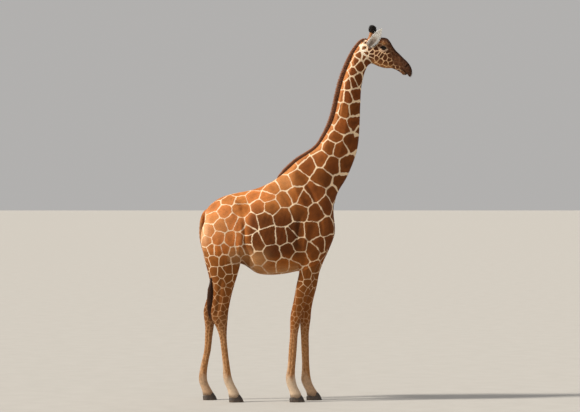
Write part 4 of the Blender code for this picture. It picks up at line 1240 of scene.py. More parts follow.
def net_widths(points, part, normals):
    """Half width of the lines, rounding of the corners and softness of their edges."""
    c, y, r = grid_of(points)
    half = np.full(len(points), 0.0058)
    half = np.where(r > 215, 0.0066, half)
    half = half + 0.0030 * smooth_step((normals[:, 0] - 0.45) / 0.5) * (part == 0) * (r > 180)
    half = half + 0.0085 * smooth_step((normals[:, 0] - 0.12) / 0.5) * (part == 0) * smooth_step((r - 206) / 14) * smooth_step((312 - r) / 16)
    legs = (part >= 2) & (part <= 5)
    half = np.where(legs, 0.0027 + 0.0021 * smooth_step((r - 100) / 50), half)
    half = np.where((part == 0) & (c < 48) & (r < 190), 0.0052, half)
    half = np.where(part == 1, 0.0044 - 0.0014 * smooth_step((c - 184) / 16), half)
    # round the root of the ear the cream widens
    behind_ear = np.exp(-(((c - 166.4) / 5.2) ** 2) - ((r - 352.5) / 8.5) ** 2)
    half = half + 0.0105 * behind_ear
    rounding = np.where(legs, 0.0022, 0.0040)
    rounding = np.where(part == 1, 0.0022, rounding)
    soft = np.where(legs, 0.0022 + 0.0050 * (1 - smooth_step((r - 60) / 45)), 0.0024)
    belly = smooth_step((150 - r) / 16) * (part == 0) * smooth_step((78 - c) / 22)
    soft = soft + 0.006 * belly
    soft = np.where(part == 1, 0.0024 + 0.0040 * smooth_step((c - 190) / 12), soft)
    return half, rounding, soft


def lid_field(points, side):
    """Distance to the rim of the eye's opening and place in the eye's own axes."""
    centre = np.array(at(EYE_COLUMN, EYE_ROW, side * EYE_OUT))
    out, ahead, up = eye_axes(side)
    q = points - centre
    u, v, w = q @ ahead, q @ up, q @ out
    return np.where(w > -0.012, lid_distance(u, v), 1.0), u, v, w


def marked(points, turned, part, normals):
    """Everything the hide's colour is made of, vertex by vertex."""
    rng = np.random.default_rng(5)
    c, y, r = grid_of(points)
    side = np.where(y < 0, -1, 1)
    middles, kin = patch_middles(points, turned, part, normals)
    half, rounding, soft = net_widths(points, part, normals)
    legs = (part >= 2) & (part <= 5)
    sway = np.where(legs, 0.0035, np.where(part == 1, 0.0020, 0.0075))
    warp = np.stack([ripple(points, 40 + k, 0.16) for k in range(3)], axis=1)
    fine = np.stack([ripple(points, 50 + k, 0.045) for k in range(3)], axis=1)
    bent = points + warp * sway[:, None] + fine * (0.28 * sway)[:, None]
    border, cell = net_of(bent, middles, kin, rounding)
    edge = border - half * (1 + 0.22 * ripple(points, 61, 0.10))

    # patches: each cell its own tone; deeper on shoulder, chest and front of the neck, partly the coat's own deeper
    # tone and partly painted shade, strongest on faces turned forward, away from the key light
    luck = rng.random((len(middles), 2))
    bright, redden = 0.91 + 0.18 * luck[cell, 0], luck[cell, 1]
    deep = smooth_step((c - 79) / 32) * smooth_step((r - 120) / 40) * (part != 1)
    upper_neck = smooth_step((r - 276) / 34) * smooth_step((normals[:, 0] + 0.75) / 0.5)
    deep = deep * (0.55 + 0.45 * np.maximum(smooth_step((normals[:, 0] + 0.35) / 0.7), upper_neck))
    # painted shadow over the flank, as if cast by the haunch
    flank = smooth_step((c - 47) / 8) * smooth_step((118 - c) / 22) * smooth_step((204 - r) / 26) * smooth_step((r - 136) / 16) * (part == 0)
    # painted sunlight: lighter patches on faces turned up, on faces turned back towards the key light and on the
    # haunch, with a painted highlight on the withers
    painted_sunlight = smooth_step((normals[:, 2] + 0.25) / 0.9) * smooth_step((112 - c) / 30) * (r > 120)
    painted_sunlight = np.maximum(painted_sunlight, 0.85 * smooth_step((-normals[:, 0] + 0.05) / 0.8) * smooth_step((60 - c) / 30) * (r > 110))
    painted_sunlight = np.maximum(painted_sunlight, 0.95 * smooth_step((50 - c) / 10) * smooth_step((r - 148) / 18) * (part == 0))
    painted_sunlight = np.maximum(painted_sunlight, 0.9 * bell(c, 87, 15) * bell(r, 219, 13) * (part == 0))
    patch = np.tile(RED_BROWN, (len(points), 1))
    patch = mixed(patch, SUNLIT_PATCH_BROWN, 0.85 * painted_sunlight)
    patch = mixed(patch, DEEP_AND_SHADED_BROWN, np.maximum(0.95 * deep, 0.98 * flank))
    patch *= (1 - 0.16 * flank)[:, None]
    # painted sunlight on the strip of neck beside the mane, on the faces turned back and up towards the key light
    sunlit_neck_strip = (part == 0) * smooth_step((r - 216) / 16) * smooth_step((-normals[:, 0] + 0.4 * normals[:, 2] - 0.38) / 0.42)
    patch = mixed(patch, tone(0.600, 0.245, 0.085), 0.62 * sunlit_neck_strip)
    patch *= bright[:, None]
    patch[:, 0] *= 1.02 - 0.04 * redden
    patch[:, 1] *= 0.97 + 0.06 * redden
    # cores a little darker than rims, with soft mottling
    core = smooth_step((edge - 0.012) / 0.045)
    patch *= (1.10 - 0.20 * core * (0.5 + 0.5 * ripple(points, 71, 0.09)) - 0.05 * core)[:, None]
    patch *= (1 + 0.09 * ripple(points, 72, 0.30) + 0.05 * ripple(points, 73, 0.05))[:, None]

    line = np.tile(CREAM, (len(points), 1))
    low = smooth_step((168 - r) / 50)
    line = mixed(line, WARM_CREAM, 0.55 * low + 0.25 * deep)
    line *= (1 + 0.06 * ripple(points, 81, 0.12))[:, None]

    # painted sunlight on the rear edge of the rump, which faces the key light
    sunlit_rump_edge = smooth_step((15 - c) / 8) * bell(r, 172, 16) * (part == 0)
    patch = mixed(patch, tone(0.72, 0.43, 0.24), 0.70 * sunlit_rump_edge)
    # painted highlights on the tops of the haunch and the shoulder blade
    painted_highlight = np.maximum(bell(c, 21, 10) * bell(r, 177, 13), 0.8 * bell(c, 87, 9) * bell(r, 219, 9)) * (part == 0)
    patch = mixed(patch, tone(0.62, 0.28, 0.105), 0.45 * painted_highlight)
    # rear belly: paler patches, faint lines
    belly = smooth_step((158 - r) / 16) * smooth_step((80 - c) / 24) * (part == 0) * (c > 30)
    belly = np.maximum(belly, 0.9 * smooth_step((-normals[:, 2] - 0.45) / 0.5) * (part == 0) * (c < 104) * (r < 175))
    patch = mixed(patch, BELLY_TAN * (1.15, 1.28, 1.40), 0.74 * belly)
    line = mixed(line, tone(0.62, 0.46, 0.31), 0.7 * belly)
    # shade in the fold before the thigh and behind the elbow
    for s_ in (-1, 1):
        fold = stroke(points, both([(44.5, 190, .26), (45.5, 176, .28), (46.5, 162, .29), (47.5, 144, .26)], s_), 0.027, 0.3)
        fold = np.maximum(fold, 0.75 * stroke(points, both([(101.5, 188, .27), (99.5, 172, .28), (98.5, 158, .28), (98, 144, .26)], s_), 0.024, 0.3))
        patch *= (1 - 0.46 * fold)[:, None]
        line *= (1 - 0.22 * fold)[:, None]
    # inner sides of the thighs and forearms: paler
    inner = legs * smooth_step((-normals[:, 1] * side - 0.1) / 0.6) * smooth_step((r - 95) / 30)
    patch = mixed(patch, BELLY_TAN, 0.55 * inner)

    # legs: the net fades to tan with pale flecks below knee and hock
    hind = c < 65
    fade = np.where(legs, smooth_step((np.where(hind, 94, 84) + 5 * ripple(points, 90, 0.2) - r) / 32), 0.0)
    patch = mixed(patch, tone(0.180, 0.056, 0.009), (legs | ((part == 0) & (c < 52) & (r < 150))) * smooth_step((160 - r) / 30) * 0.85)
    fleck = np.clip(ripple(points * (1, 1, 0.6), 91, 0.030), -1, 1)
    patch = mixed(patch, LEG_TAN, fade)
    line = mixed(line, LEG_PALE, smooth_step((134 - r) / 40) * legs)
    line = mixed(line, LEG_TAN * 1.25, 0.45 * fade)
    patch *= (1 + 0.16 * fade * fleck)[:, None]
    patch *= (1 - 0.26 * (legs & hind) * bell(r, 82, 22))[:, None]
    spots = smooth_step((ripple(points * (1, 1, 0.72), 93, 0.024) - 0.15) / 0.5)
    spots = spots * fade * (0.35 + 0.65 * smooth_step((-normals[:, 0] + 0.35) / 0.8))
    patch = mixed(patch, LEG_PALE * 1.15, 0.50 * spots)
    # front faces of the cannons darker, backs pale; socks
    dark = fade * bell(r, 66, 26) * smooth_step((normals[:, 0] + 0.1) / 0.8)
    patch = mixed(patch, tone(0.20, 0.086, 0.032), 0.55 * dark)
    sock = legs * smooth_step((30 - r + 3 * ripple(points, 92, 0.08)) / 12)
    # the far side's socks are painted only half as pale: painted shade on the legs turned away from the key light
    near = np.where(side < 0, 0.95, 0.50)
    sock = sock * near
    patch = mixed(patch, SOCK, 0.85 * sock)
    line = mixed(line, SOCK * 1.05, 0.85 * sock)
    # pale backs of the lower legs: partly their own pale hair, partly painted light on the faces turned back towards
    # the key light, halved on the far side as painted shade
    heel = legs * smooth_step((48 - r) / 14) * smooth_step((-normals[:, 0] - 0.1) / 0.6)
    patch = mixed(patch, SOCK, 0.55 * heel * near)
    coronet = legs * smooth_step((9.0 - r) / 4.0)
    patch = mixed(patch, tone(0.20, 0.13, 0.085), 0.6 * coronet)
    line = mixed(line, tone(0.22, 0.15, 0.10), 0.6 * coronet)
    # callus of the knee, darker hock cap
    patch = mixed(patch, tone(0.20, 0.090, 0.042), 0.35 * legs * bell(r, 79, 6) * smooth_step(normals[:, 0]) * (c > 65))

    root_share = np.zeros(len(points))
    # white hair round the ear's root
    ear_hair = np.exp(-(((c - 166.4) / 5.0) ** 2) - ((r - 352.5) / 8.5) ** 2) * (part < 2)
    line = mixed(line, tone(0.88, 0.80, 0.68), 0.95 * ear_hair)
    patch = mixed(patch, tone(0.40, 0.17, 0.06), 0.5 * ear_hair)
    # root of the ear: whitish all round
    for s_ in (-1, 1):
        near_root = np.exp(-((np.linalg.norm(points - np.array(ear_frame(s_)[0]) - np.array(ear_frame(s_)[1]) * 0.012, axis=1) / 0.050) ** 4))
        root_share[:] = np.maximum(root_share, near_root * (part < 2))
    # neck: throat near the jaw shifted towards the face's dark patches, dark foot of the mane
    throat = bell(c, 171, 5) * bell(r, 338, 9) * (part < 2)
    patch = mixed(patch, FACE_PATCH * 1.3, 0.5 * throat)
    crest = (part == 0) & (r > 222)
    near_mane = crest * np.exp(-(np.abs(y) / 0.020) ** 2) * smooth_step((normals[:, 2] - normals[:, 0] - 0.2) / 0.5)
    patch = mixed(patch, tone(0.12, 0.035, 0.013), 0.8 * near_mane)
    line = mixed(line, tone(0.30, 0.12, 0.05), 0.7 * near_mane)

    # ----- head
    head = part == 1
    top = np.interp(c, [row[0] for row in HEAD], [row[1] for row in HEAD])
    under_top = top - r  # squares below the upper outline
    reach = np.interp(c, [176, 182, 186, 189, 192, 195, 198, 202, 206, 212], [3.0, 4.2, 6.4, 11.0, 14.4, 16.5, 16.5, 15.0, 14.5, 14.0])
    face_patch = np.tile(FACE_PATCH, (len(points), 1)) * (0.85 + 0.45 * luck[cell, 0])[:, None]
    jaw = smooth_step((344 - r) / 8) * smooth_step((199 - c) / 8)
    face_patch = mixed(face_patch, tone(0.110, 0.032, 0.0075), 0.8 * jaw)
    face_line = np.tile(FACE_LINE, (len(points), 1))
    face_line = mixed(face_line, tone(0.640, 0.400, 0.210), 0.8 * jaw)
    rear = smooth_step((177 - c) / 6)
    face_line = mixed(face_line, tone(0.74, 0.58, 0.42), 0.9 * rear)
    # bridge of the nose, forehead and muzzle: dark, with a faint trace of the net
    nose = smooth_step((reach - under_top + 1.2 * ripple(points, 103, 0.04)) / 3.6)
    forehead = smooth_step((5.0 - under_top) / 3.0) * smooth_step((c - 181) / 3)
    muzzle = smooth_step((c - 199.0 + 1.2 * ripple(points, 104, 0.03)) / 8.0)
    nose_tone = mixed(np.tile(tone(0.098, 0.036, 0.014), (len(points), 1)), NOSE_BROWN, muzzle)
    nose_tone *= (1 + 0.22 * ripple(points, 105, 0.028) + 0.10 * ripple(points, 106, 0.012))[:, None]
    covered = np.maximum(nose, muzzle)
    face_patch = mixed(face_patch, nose_tone, 0.92 * covered)
    face_line = mixed(face_line, nose_tone * 1.16, np.maximum(0.91 - 0.10 * bell(c, 192, 4), 0.97 * muzzle) * covered)
    face_patch = mixed(face_patch, tone(0.060, 0.022, 0.011), 0.6 * forehead)
    face_line = mixed(face_line, tone(0.080, 0.031, 0.015), 0.7 * forehead)
    # ridge of the nose darkest
    ridge = smooth_step((3.6 - under_top) / 2.6) * smooth_step((c - 186) / 5)
    face_patch = mixed(face_patch, tone(0.034, 0.013, 0.007), 0.70 * ridge)
    face_line = mixed(face_line, tone(0.038, 0.015, 0.008), 0.70 * ridge)
    # lower lip and chin: tan; edge of the jaw orange tan
    chin = smooth_step((c - 197) / 5) * smooth_step((330.0 - r - 0.15 * (c - 205)) / 3.0) * smooth_step((208.5 - c) / 2.5)
    face_patch = mixed(face_patch, tone(0.270, 0.115, 0.045), 0.60 * chin)
    face_line = mixed(face_line, tone(0.36, 0.180, 0.080), 0.60 * chin)
    under = smooth_step((-normals[:, 2] - 0.2) / 0.5) * smooth_step((199 - c) / 6)
    face_patch = mixed(face_patch, tone(0.42, 0.18, 0.060), 0.75 * under)
    face_line = mixed(face_line, tone(0.62, 0.38, 0.18), 0.75 * under)
    lip = bell(r - (326.2 + 0.0 * c), 0, 2.2) * smooth_step((c - 208.5) / 3)
    face_patch = mixed(face_patch, tone(0.045, 0.017, 0.009), 0.75 * lip)
    # brow: a warm stripe over the eye; pale ring under it; temple grey
    for s_ in (-1, 1):
        rim, u, v, w = lid_field(points, s_)
        here = head & (side == s_)
        brow = here * bell(v, 0.054, 0.015) * bell(u, -0.010, 0.034)
        face_patch = mixed(face_patch, tone(0.56, 0.25, 0.090), 0.92 * brow)
        face_line = mixed(face_line, tone(0.60, 0.30, 0.12), 0.92 * brow)
        pale = here * bell(rim, 0.0225, 0.011) * smooth_step((0.010 - v) / 0.018)
        pale_tone = tone(0.66, 0.47, 0.33)
        face_patch = mixed(face_patch, pale_tone, 0.85 * pale)
        face_line = mixed(face_line, pale_tone * 1.1, 0.85 * pale)
        over = here * bell(rim, 0.018, 0.010) * smooth_step((v - 0.004) / 0.012)
        face_patch = mixed(face_patch, tone(0.30, 0.165, 0.095), 0.75 * over)
        face_line = mixed(face_line, tone(0.33, 0.19, 0.11), 0.75 * over)
        lid = here * (1 - smooth_step((rim - 0.0065 - 0.0030 * smooth_step(v / 0.006)) / 0.0070))
        corner = here * bell(v, 0.002, 0.005) * smooth_step((u - LID_LONG + 0.006) / 0.004) * smooth_step((LID_LONG + 0.014 - u) / 0.010)
        lid = np.maximum(lid, corner)
        lid = np.maximum(lid, here * bell(v, 0.003, 0.005) * smooth_step((-u - LID_LONG + 0.006) / 0.004) * smooth_step((LID_LONG + 0.012 + u) / 0.010))
        face_patch = mixed(face_patch, LID_BLACK, lid)
        face_line = mixed(face_line, LID_BLACK, lid)
    # mouth, nostrils: their slits painted near-black, painted shade inside the openings
    for s_ in (-1, 1):
        slit = stroke(points, both(MOUTH, s_), 0.0042)
        hole = np.maximum(stroke(points, both(NOSTRIL, s_), 0.0054, 0.25), stroke(points, both(NOSTRIL[2:], s_), 0.0050))
        mark = np.clip(np.maximum(0.9 * slit, 1.1 * hole), 0, 1)
        face_patch = mixed(face_patch, tone(0.016, 0.008, 0.006), mark)
        face_line = mixed(face_line, tone(0.016, 0.008, 0.006), mark)
    patch = np.where(head[:, None], face_patch, patch)
    line = np.where(head[:, None], face_line, line)

    # ----- ears: white backs and rims, grey-brown cups with a dark root
    for number, s_ in ((6, -1), (7, 1)):
        own = part == number
        on = own | ((root_share > 0.02) & (side == s_))
        weight = np.where(own, 1.0, np.minimum(1.15 * root_share, 1.0))[on]
        reach, across, deep_in = ear_coordinates(points[on], s_)
        share = np.clip((reach + 0.04) / EAR_LENGTH, 0, 1)
        wide = np.interp(share, np.linspace(0, 1, 30), [ear_half(x) for x in np.linspace(0, 1, 30)])
        off = np.abs(across) / np.maximum(wide, 0.008)
        opening = np.array(ear_frame(s_)[3])
        front = smooth_step((normals[on] @ opening + 0.1) / 0.3)
        across_way = np.array(ear_frame(s_)[2])
        below = across * (-np.sign(across_way[2])) / np.maximum(wide, 0.008)  # 1 at the lower rim, -1 at the upper
        cup = front * smooth_step((0.78 - off + 0.06 * ripple(points[on], 111, 0.02)) / 0.30) * smooth_step((0.60 - share) / 0.22)
        cup = cup * (0.30 + 0.70 * smooth_step((below + 0.55) / 0.6))
        colour = mixed(np.tile(EAR_WHITE, (on.sum(), 1)), EAR_INNER, 0.78 * cup)
        colour = mixed(colour, tone(0.12, 0.080, 0.060), 0.6 * cup * smooth_step((0.42 - share) / 0.25))
        back = (1 - front) * bell(off, 0.0, 0.6) * smooth_step((0.75 - share) / 0.5)
        colour = mixed(colour, tone(0.62, 0.46, 0.32), 0.5 * back)
        colour *= (1 + 0.06 * ripple(points[on], 112, 0.04))[:, None]
        patch[on] += (colour - patch[on]) * weight[:, None]
        line[on] += (colour - line[on]) * weight[:, None]
    edge[part >= 6] = 0.02
    # the tail is plain brown, with painted light on its rear side, which faces the key light
    s, way, foot, girth = along_line(points, AXES["tail"][0], AXES["tail"][1])
    tail = smooth_step((1.55 - np.linalg.norm(points - foot, axis=1) / girth) / 0.25) * smooth_step((s - 0.10) / 0.10) * (c < 16)
    edge = np.maximum(edge, edge + (0.02 - edge) * tail)
    plain = mixed(np.tile(tone(0.300, 0.110, 0.030), (len(points), 1)), tone(0.44, 0.21, 0.085), smooth_step((-normals[:, 0] + 0.2) / 0.8))
    plain *= (1 + 0.20 * ripple(points, 121, 0.05))[:, None]
    patch = mixed(patch, plain, tail)
    line = mixed(line, plain, tail)
    return {"edge": edge, "soft": soft, "patch": np.clip(patch, 0.002, 1), "line": np.clip(line, 0.002, 1), "middles": middles, "cell": cell}


def coat_colour(marks, wobble):
    """The colour at each vertex as the skin's material mixes it, before its fine grain."""
    share = smooth_step((marks["edge"] + wobble) / marks["soft"] * 0.5 + 0.5)
    return marks["line"] + (marks["patch"] - marks["line"]) * share[:, None]


# ------------------------------------------------------------ unwrap
SHEET = 4.6  # side of the unwrapped sheet in metres
CHARTS = {  # along and across offsets, scale, widest radius that counts
    0: (0.15, 1.15, 1.0, 0.36),
    1: (1.90, 3.15, 2.6, 0.095),
    2: (-0.30, 2.58, 1.0, 0.073),
    3: (-0.30, 3.04, 1.0, 0.073),
    4: (-0.02, 3.50, 1.0, 0.073),
    5: (-0.02, 3.96, 1.0, 0.073),
    8: (1.90, 4.28, 1.0, 0.040),
}


def chart_of(points, part, number, front=None):
    """Sheet coordinates and lie coordinates, both in metres, of points that belong to one part."""
    if number in (6, 7):
        reach, across, deep = ear_coordinates(points, -1 if number == 6 else 1)
        slot = (number - 6) * 2 + front.astype(int)
        sheet = np.stack([4.26 + 2.6 * across, 0.03 + 0.82 * slot + 2.6 * (reach + 0.045)], axis=1)
        return sheet, np.stack([reach, across + 0.3 * front], axis=1), None, None
    s, angle, r, tangent = wrap_coordinates(points, PARTS[number])
    return None, None, (s, angle, r), tangent


def unwrap(mesh, points, part):
    """Makes the maps OFBake (a sheet of charts) and Lie (metres along and across the hair)."""
    loops = np.empty(len(mesh.loops), np.int32)
    mesh.loops.foreach_get("vertex_index", loops)
    starts = np.empty(len(mesh.polygons), np.int32)
    sizes = np.empty(len(mesh.polygons), np.int32)
    mesh.polygons.foreach_get("loop_start", starts)
    mesh.polygons.foreach_get("loop_total", sizes)
    normals = np.empty(len(mesh.polygons) * 3, np.float32)
    mesh.polygons.foreach_get("normal", normals)
    normals = normals.reshape(-1, 3)
    face_part = np.minimum.reduceat(part[loops], starts)
    face_of = np.repeat(np.arange(len(starts)), sizes)
    sheet = np.zeros((len(loops), 2))
    lie = np.zeros((len(loops), 2))
    for number in range(len(PARTS)):
        mine = np.flatnonzero(face_part[face_of] == number)
        if not len(mine):
            continue
        if number in (6, 7):
            opening = np.array(ear_frame(-1 if number == 6 else 1)[3])
            front = normals[face_of[mine]] @ opening > 0
            sheet[mine], lie[mine] = chart_of(points[loops[mine]], None, number, front)[:2]
            continue
        used, back = np.unique(loops[mine], return_inverse=True)
        s, angle, r, tangent = wrap_coordinates(points[used], PARTS[number])
        s, angle, r = s[back], angle[back], r[back]
        first = angle[np.searchsorted(mine, starts[face_of[mine]])]
        angle = angle + 2 * np.pi * np.round((first - angle) / (2 * np.pi))
        along, across, scale, widest = CHARTS[number]
        sheet[mine, 0] = along + scale * s
        sheet[mine, 1] = across + scale * angle * np.minimum(r, widest)
        lie[mine, 0] = s
        lie[mine, 1] = angle * np.minimum(r, 0.36) + number * 3.0
    for name, values in (("OFBake", sheet / SHEET), ("Lie", lie)):
        layer = mesh.uv_layers.new(name=name)
        layer.data.foreach_set("uv", values.astype(np.float32).ravel())
    mesh.uv_layers.active = mesh.uv_layers["OFBake"]
    mesh.uv_layers["OFBake"].active_render = True
    return sheet


def lie_of(points, part):
    """Direction in which the hair lies, before it is laid on the surface."""
    way = np.zeros((len(points), 3))
    for number in range(len(PARTS)):
        mine = part == number
        if not mine.any():
            continue
        if number in (6, 7):
            way[mine] = np.array(ear_frame(-1 if number == 6 else 1)[1])
            continue
        s, angle, r, tangent = wrap_coordinates(points[mine], PARTS[number])
        if number in (0, 1):
            way[mine] = -tangent
        else:
            way[mine] = tangent
    body = part == 0
    c, y, r = grid_of(points)
    # trunk hair also runs down the sides, most of all on haunch and shoulder
    down = body * smooth_step((r - 120) / 60) * (r < 235) * 0.45
    way[:, 2] -= down * smooth_step(np.abs(y) / 0.15)
    return way


def sheet_of(points, part):
    """Sheet coordinates of single points, such as the roots of tufts."""
    out = np.zeros((len(points), 2))
    for number in range(len(PARTS)):
        mine = part == number
        if not mine.any():
            continue
        if number in (6, 7):
            out[mine] = chart_of(points[mine], None, number, np.zeros(mine.sum(), bool))[0]
            continue
        s, angle, r, tangent = wrap_coordinates(points[mine], PARTS[number])
        along, across, scale, widest = CHARTS[number]
        out[mine, 0] = along + scale * s
        out[mine, 1] = across + scale * angle * np.minimum(r, widest)
    return out


def add_scalar(mesh, name, values):
    mesh.attributes.new(name, "FLOAT", "POINT").data.foreach_set("value", values.astype(np.float32))


def add_colour(mesh, name, values):
    rgba = np.ones((len(values), 4), np.float32)
    rgba[:, :3] = values
    mesh.attributes.new(name, "FLOAT_COLOR", "POINT").data.foreach_set("color", rgba.ravel())


# ------------------------------------------------------------ materials
class Nodes:
    """Small helper for building one material's node tree."""

    def __init__(self, name):
        self.material = bpy.data.materials.new(name)
        self.material.use_nodes = True
        self.tree = self.material.node_tree
        self.shader = self.tree.nodes["Principled BSDF"]

    def new(self, kind, **values):
        node = self.tree.nodes.new(kind)
        for key, value in values.items():
            setattr(node, key, value)
        return node

    def join(self, source, target):
        self.tree.links.new(source, target)

    def attribute(self, name, output="Fac"):
        node = self.new("ShaderNodeAttribute", attribute_name=name)
        return node.outputs[output]

    def uv(self, name, scale):
        node = self.new("ShaderNodeUVMap", uv_map=name)
        mapping = self.new("ShaderNodeMapping")
        mapping.inputs["Scale"].default_value = scale
        self.join(node.outputs["UV"], mapping.inputs["Vector"])
        return mapping.outputs["Vector"]

    def place(self, scale):
        node = self.new("ShaderNodeTexCoord")
        mapping = self.new("ShaderNodeMapping")
        mapping.inputs["Scale"].default_value = scale
        self.join(node.outputs["Object"], mapping.inputs["Vector"])
        return mapping.outputs["Vector"]

    def noise(self, vector, scale=1.0, detail=2.0, rough=0.55):
        node = self.new("ShaderNodeTexNoise")
        node.inputs["Scale"].default_value = scale
        node.inputs["Detail"].default_value = detail
        node.inputs["Roughness"].default_value = rough
        self.join(vector, node.inputs["Vector"])
        return node.outputs["Fac"]

    def span(self, value, low, high, to_low=0.0, to_high=1.0, smooth=False):
        node = self.new("ShaderNodeMapRange")
        if smooth:
            node.interpolation_type = "SMOOTHSTEP"
        node.inputs["From Min"].default_value = low
        node.inputs["From Max"].default_value = high
        node.inputs["To Min"].default_value = to_low
        node.inputs["To Max"].default_value = to_high
        self.join(value, node.inputs["Value"])
        return node

    def math(self, operation, a, b):
        node = self.new("ShaderNodeMath", operation=operation)
        for socket, value in zip(node.inputs, (a, b)):
            if isinstance(value, (int, float)):
                socket.default_value = value
            else:
                self.join(value, socket)
        return node.outputs["Value"]

    def mix(self, share, a, b, blend="MIX"):
        node = self.new("ShaderNodeMix", data_type="RGBA", blend_type=blend)
        for index, value in ((0, share), (6, a), (7, b)):
            if isinstance(value, (int, float)):
                node.inputs[index].default_value = value
            elif isinstance(value, tuple):
                node.inputs[index].default_value = (*value, 1)
            else:
                self.join(value, node.inputs[index])
        return node.outputs[2]

    def scaled(self, colour, factor):
        """Colour times a grey factor."""
        node = self.new("ShaderNodeVectorMath", operation="SCALE")
        self.join(colour, node.inputs[0])
        self.join(factor, node.inputs["Scale"])
        return node.outputs["Vector"]

    def bump(self, height, strength, distance, under=None):
        node = self.new("ShaderNodeBump")
        node.inputs["Strength"].default_value = strength
        node.inputs["Distance"].default_value = distance
        self.join(height, node.inputs["Height"])
        if under is not None:
            self.join(under, node.inputs["Normal"])
        return node.outputs["Normal"]

    def set(self, **values):
        for key, value in values.items():
            socket = self.shader.inputs[key.replace("_", " ").title()]
            if isinstance(value, (int, float)):
                socket.default_value = value
            elif isinstance(value, tuple):
                socket.default_value = (*value, 1)
            else:
                self.join(value, socket)
        return self.material


def hide_material():
    m = Nodes("giraffe_coat")
    hair = m.noise(m.uv("Lie", (26.0, 330.0, 1.0)), 1.0, 3.0, 0.62)
    fine = m.noise(m.uv("Lie", (70.0, 900.0, 1.0)), 1.0, 2.0, 0.6)
    cloud = m.noise(m.place((1.0, 1.0, 1.0)), 16.0, 3.0, 0.6)
    # border of the patches, ragged by the hair that crosses it
    ragged = m.math("MULTIPLY", m.math("SUBTRACT", hair, 0.5), 0.0075)
    edge = m.math("ADD", m.attribute("edge"), ragged)
    blend = m.new("ShaderNodeMapRange", interpolation_type="SMOOTHSTEP")
    soft = m.attribute("soft")
    m.join(edge, blend.inputs["Value"])
    m.join(m.math("MULTIPLY", soft, -1.0), blend.inputs["From Min"])
    m.join(soft, blend.inputs["From Max"])
    colour = m.mix(blend.outputs["Result"], m.attribute("line", "Color"), m.attribute("patch", "Color"))
    grain = m.span(hair, 0.25, 0.75, 0.80, 1.18).outputs["Result"]
    grain = m.math("MULTIPLY", grain, m.span(fine, 0.25, 0.75, 0.90, 1.10).outputs["Result"])
    grain = m.math("MULTIPLY", grain, m.span(cloud, 0.25, 0.75, 0.90, 1.10).outputs["Result"])
    rough = m.span(hair, 0.3, 0.7, 0.50, 0.72).outputs["Result"]
    normal = m.bump(hair, 0.45, 0.0022)
    normal = m.bump(fine, 0.30, 0.0010, normal)
    m.set(base_color=m.scaled(colour, grain), roughness=rough, normal=normal)
    m.shader.inputs["Specular IOR Level"].default_value = 0.10
    m.shader.inputs["Sheen Weight"].default_value = 0.015
    m.shader.inputs["Sheen Roughness"].default_value = 0.45
    m.shader.inputs["Sheen Tint"].default_value = (0.9, 0.75, 0.6, 1)
    return m.material


def tuft_material(name, rough=0.62, specular=0.12, sheen=0.015):
    """Hair mesh that carries its own colour in the attribute tuft."""
    m = Nodes(name)
    speck = m.noise(m.place((1.0, 1.0, 1.0)), 240.0, 1.0, 0.5)
    grain = m.span(speck, 0.25, 0.75, 0.86, 1.12).outputs["Result"]
    m.set(base_color=m.scaled(m.attribute("tuft", "Color"), grain), roughness=m.span(speck, 0.3, 0.7, rough - 0.06, rough + 0.08).outputs["Result"])
    m.set(normal=m.bump(speck, 0.15, 0.0006))
    m.shader.inputs["Specular IOR Level"].default_value = specular
    m.shader.inputs["Sheen Weight"].default_value = sheen
    return m.material


# ------------------------------------------------------------ the hide, marked
def finished_hide():
    """Adds the tail to the hide, the finer legs, the maps and the markings, and turns the head."""
    mesh = HIDE
    bm = bmesh.new()
    bm.from_mesh(mesh)
    # finer legs, where the net is small
    low, high = 56 * U, 150 * U
    edges = [e for e in bm.edges if low < e.verts[0].co.z < high and low < e.verts[1].co.z < high]
    legs = part_of(np.array([e.verts[0].co[:] for e in edges]))
    edges = [e for e, k in zip(edges, legs) if 2 <= k <= 5]
    bmesh.ops.subdivide_edges(bm, edges=edges, cuts=1, use_grid_fill=True)
    count = len(bm.verts)
    # the tail: its own closed tube, its root deep in the rump
    tail = bmesh.new()
    # its root flares into the rump
    flared = [(c_, r_, radius * (1 + 0.75 * max(0.0, 1 - k / 2.2) ** 1.5)) for k, (c_, r_, radius) in enumerate(TAIL)]
    loft(tail, tube_rings(flared, 8, 36, 0.9, grow=-0.0035))
    bmesh.ops.recalc_face_normals(tail, faces=tail.faces)
    tail_mesh = bpy.data.meshes.new("tail")
    tail.to_mesh(tail_mesh)
    tail.free()
    bm.from_mesh(tail_mesh)
    bm.to_mesh(mesh)
    bm.free()
    bpy.data.meshes.remove(tail_mesh)
    mesh.update()
    points = vertex_points(mesh)
    part = part_of(points)
    part[count:] = 8
    normals = vertex_normals(mesh)
    # the tail's own small unevenness: vertebrae showing under the skin
    on = part == 8
    s = wrap_coordinates(points[on], "tail")[0]
    lift = 0.0012 * np.sin(s * 2 * np.pi / 0.055) * smooth_step((s - 0.15) / 0.1)
    points[on] += normals[on] * lift[:, None]
    unwrap(mesh, points, part)
    turned = turn_head(points)
    marks = marked(points, turned, part, normals)
    add_scalar(mesh, "edge", marks["edge"])
    add_scalar(mesh, "soft", marks["soft"])
    add_colour(mesh, "patch", marks["patch"])
    add_colour(mesh, "line", marks["line"])
    set_points(mesh, turned)
    mesh.shade_smooth()
    mesh.materials.append(hide_material())
    return mesh, points, turned, part, normals, marks


HIDE_MESH, FLAT_POINTS, TURNED_POINTS, PART, FLAT_NORMALS, MARKS = finished_hide()
HIDE_NORMALS = vertex_normals(HIDE_MESH)
HIDE_OBJECT = link("hide", HIDE_MESH)
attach(HIDE_OBJECT, "root")
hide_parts("trunk", "neck", "head", "ear_left", "ear_right", "foreleg_left", "foreleg_right", "hindleg_left", "hindleg_right", "tail")


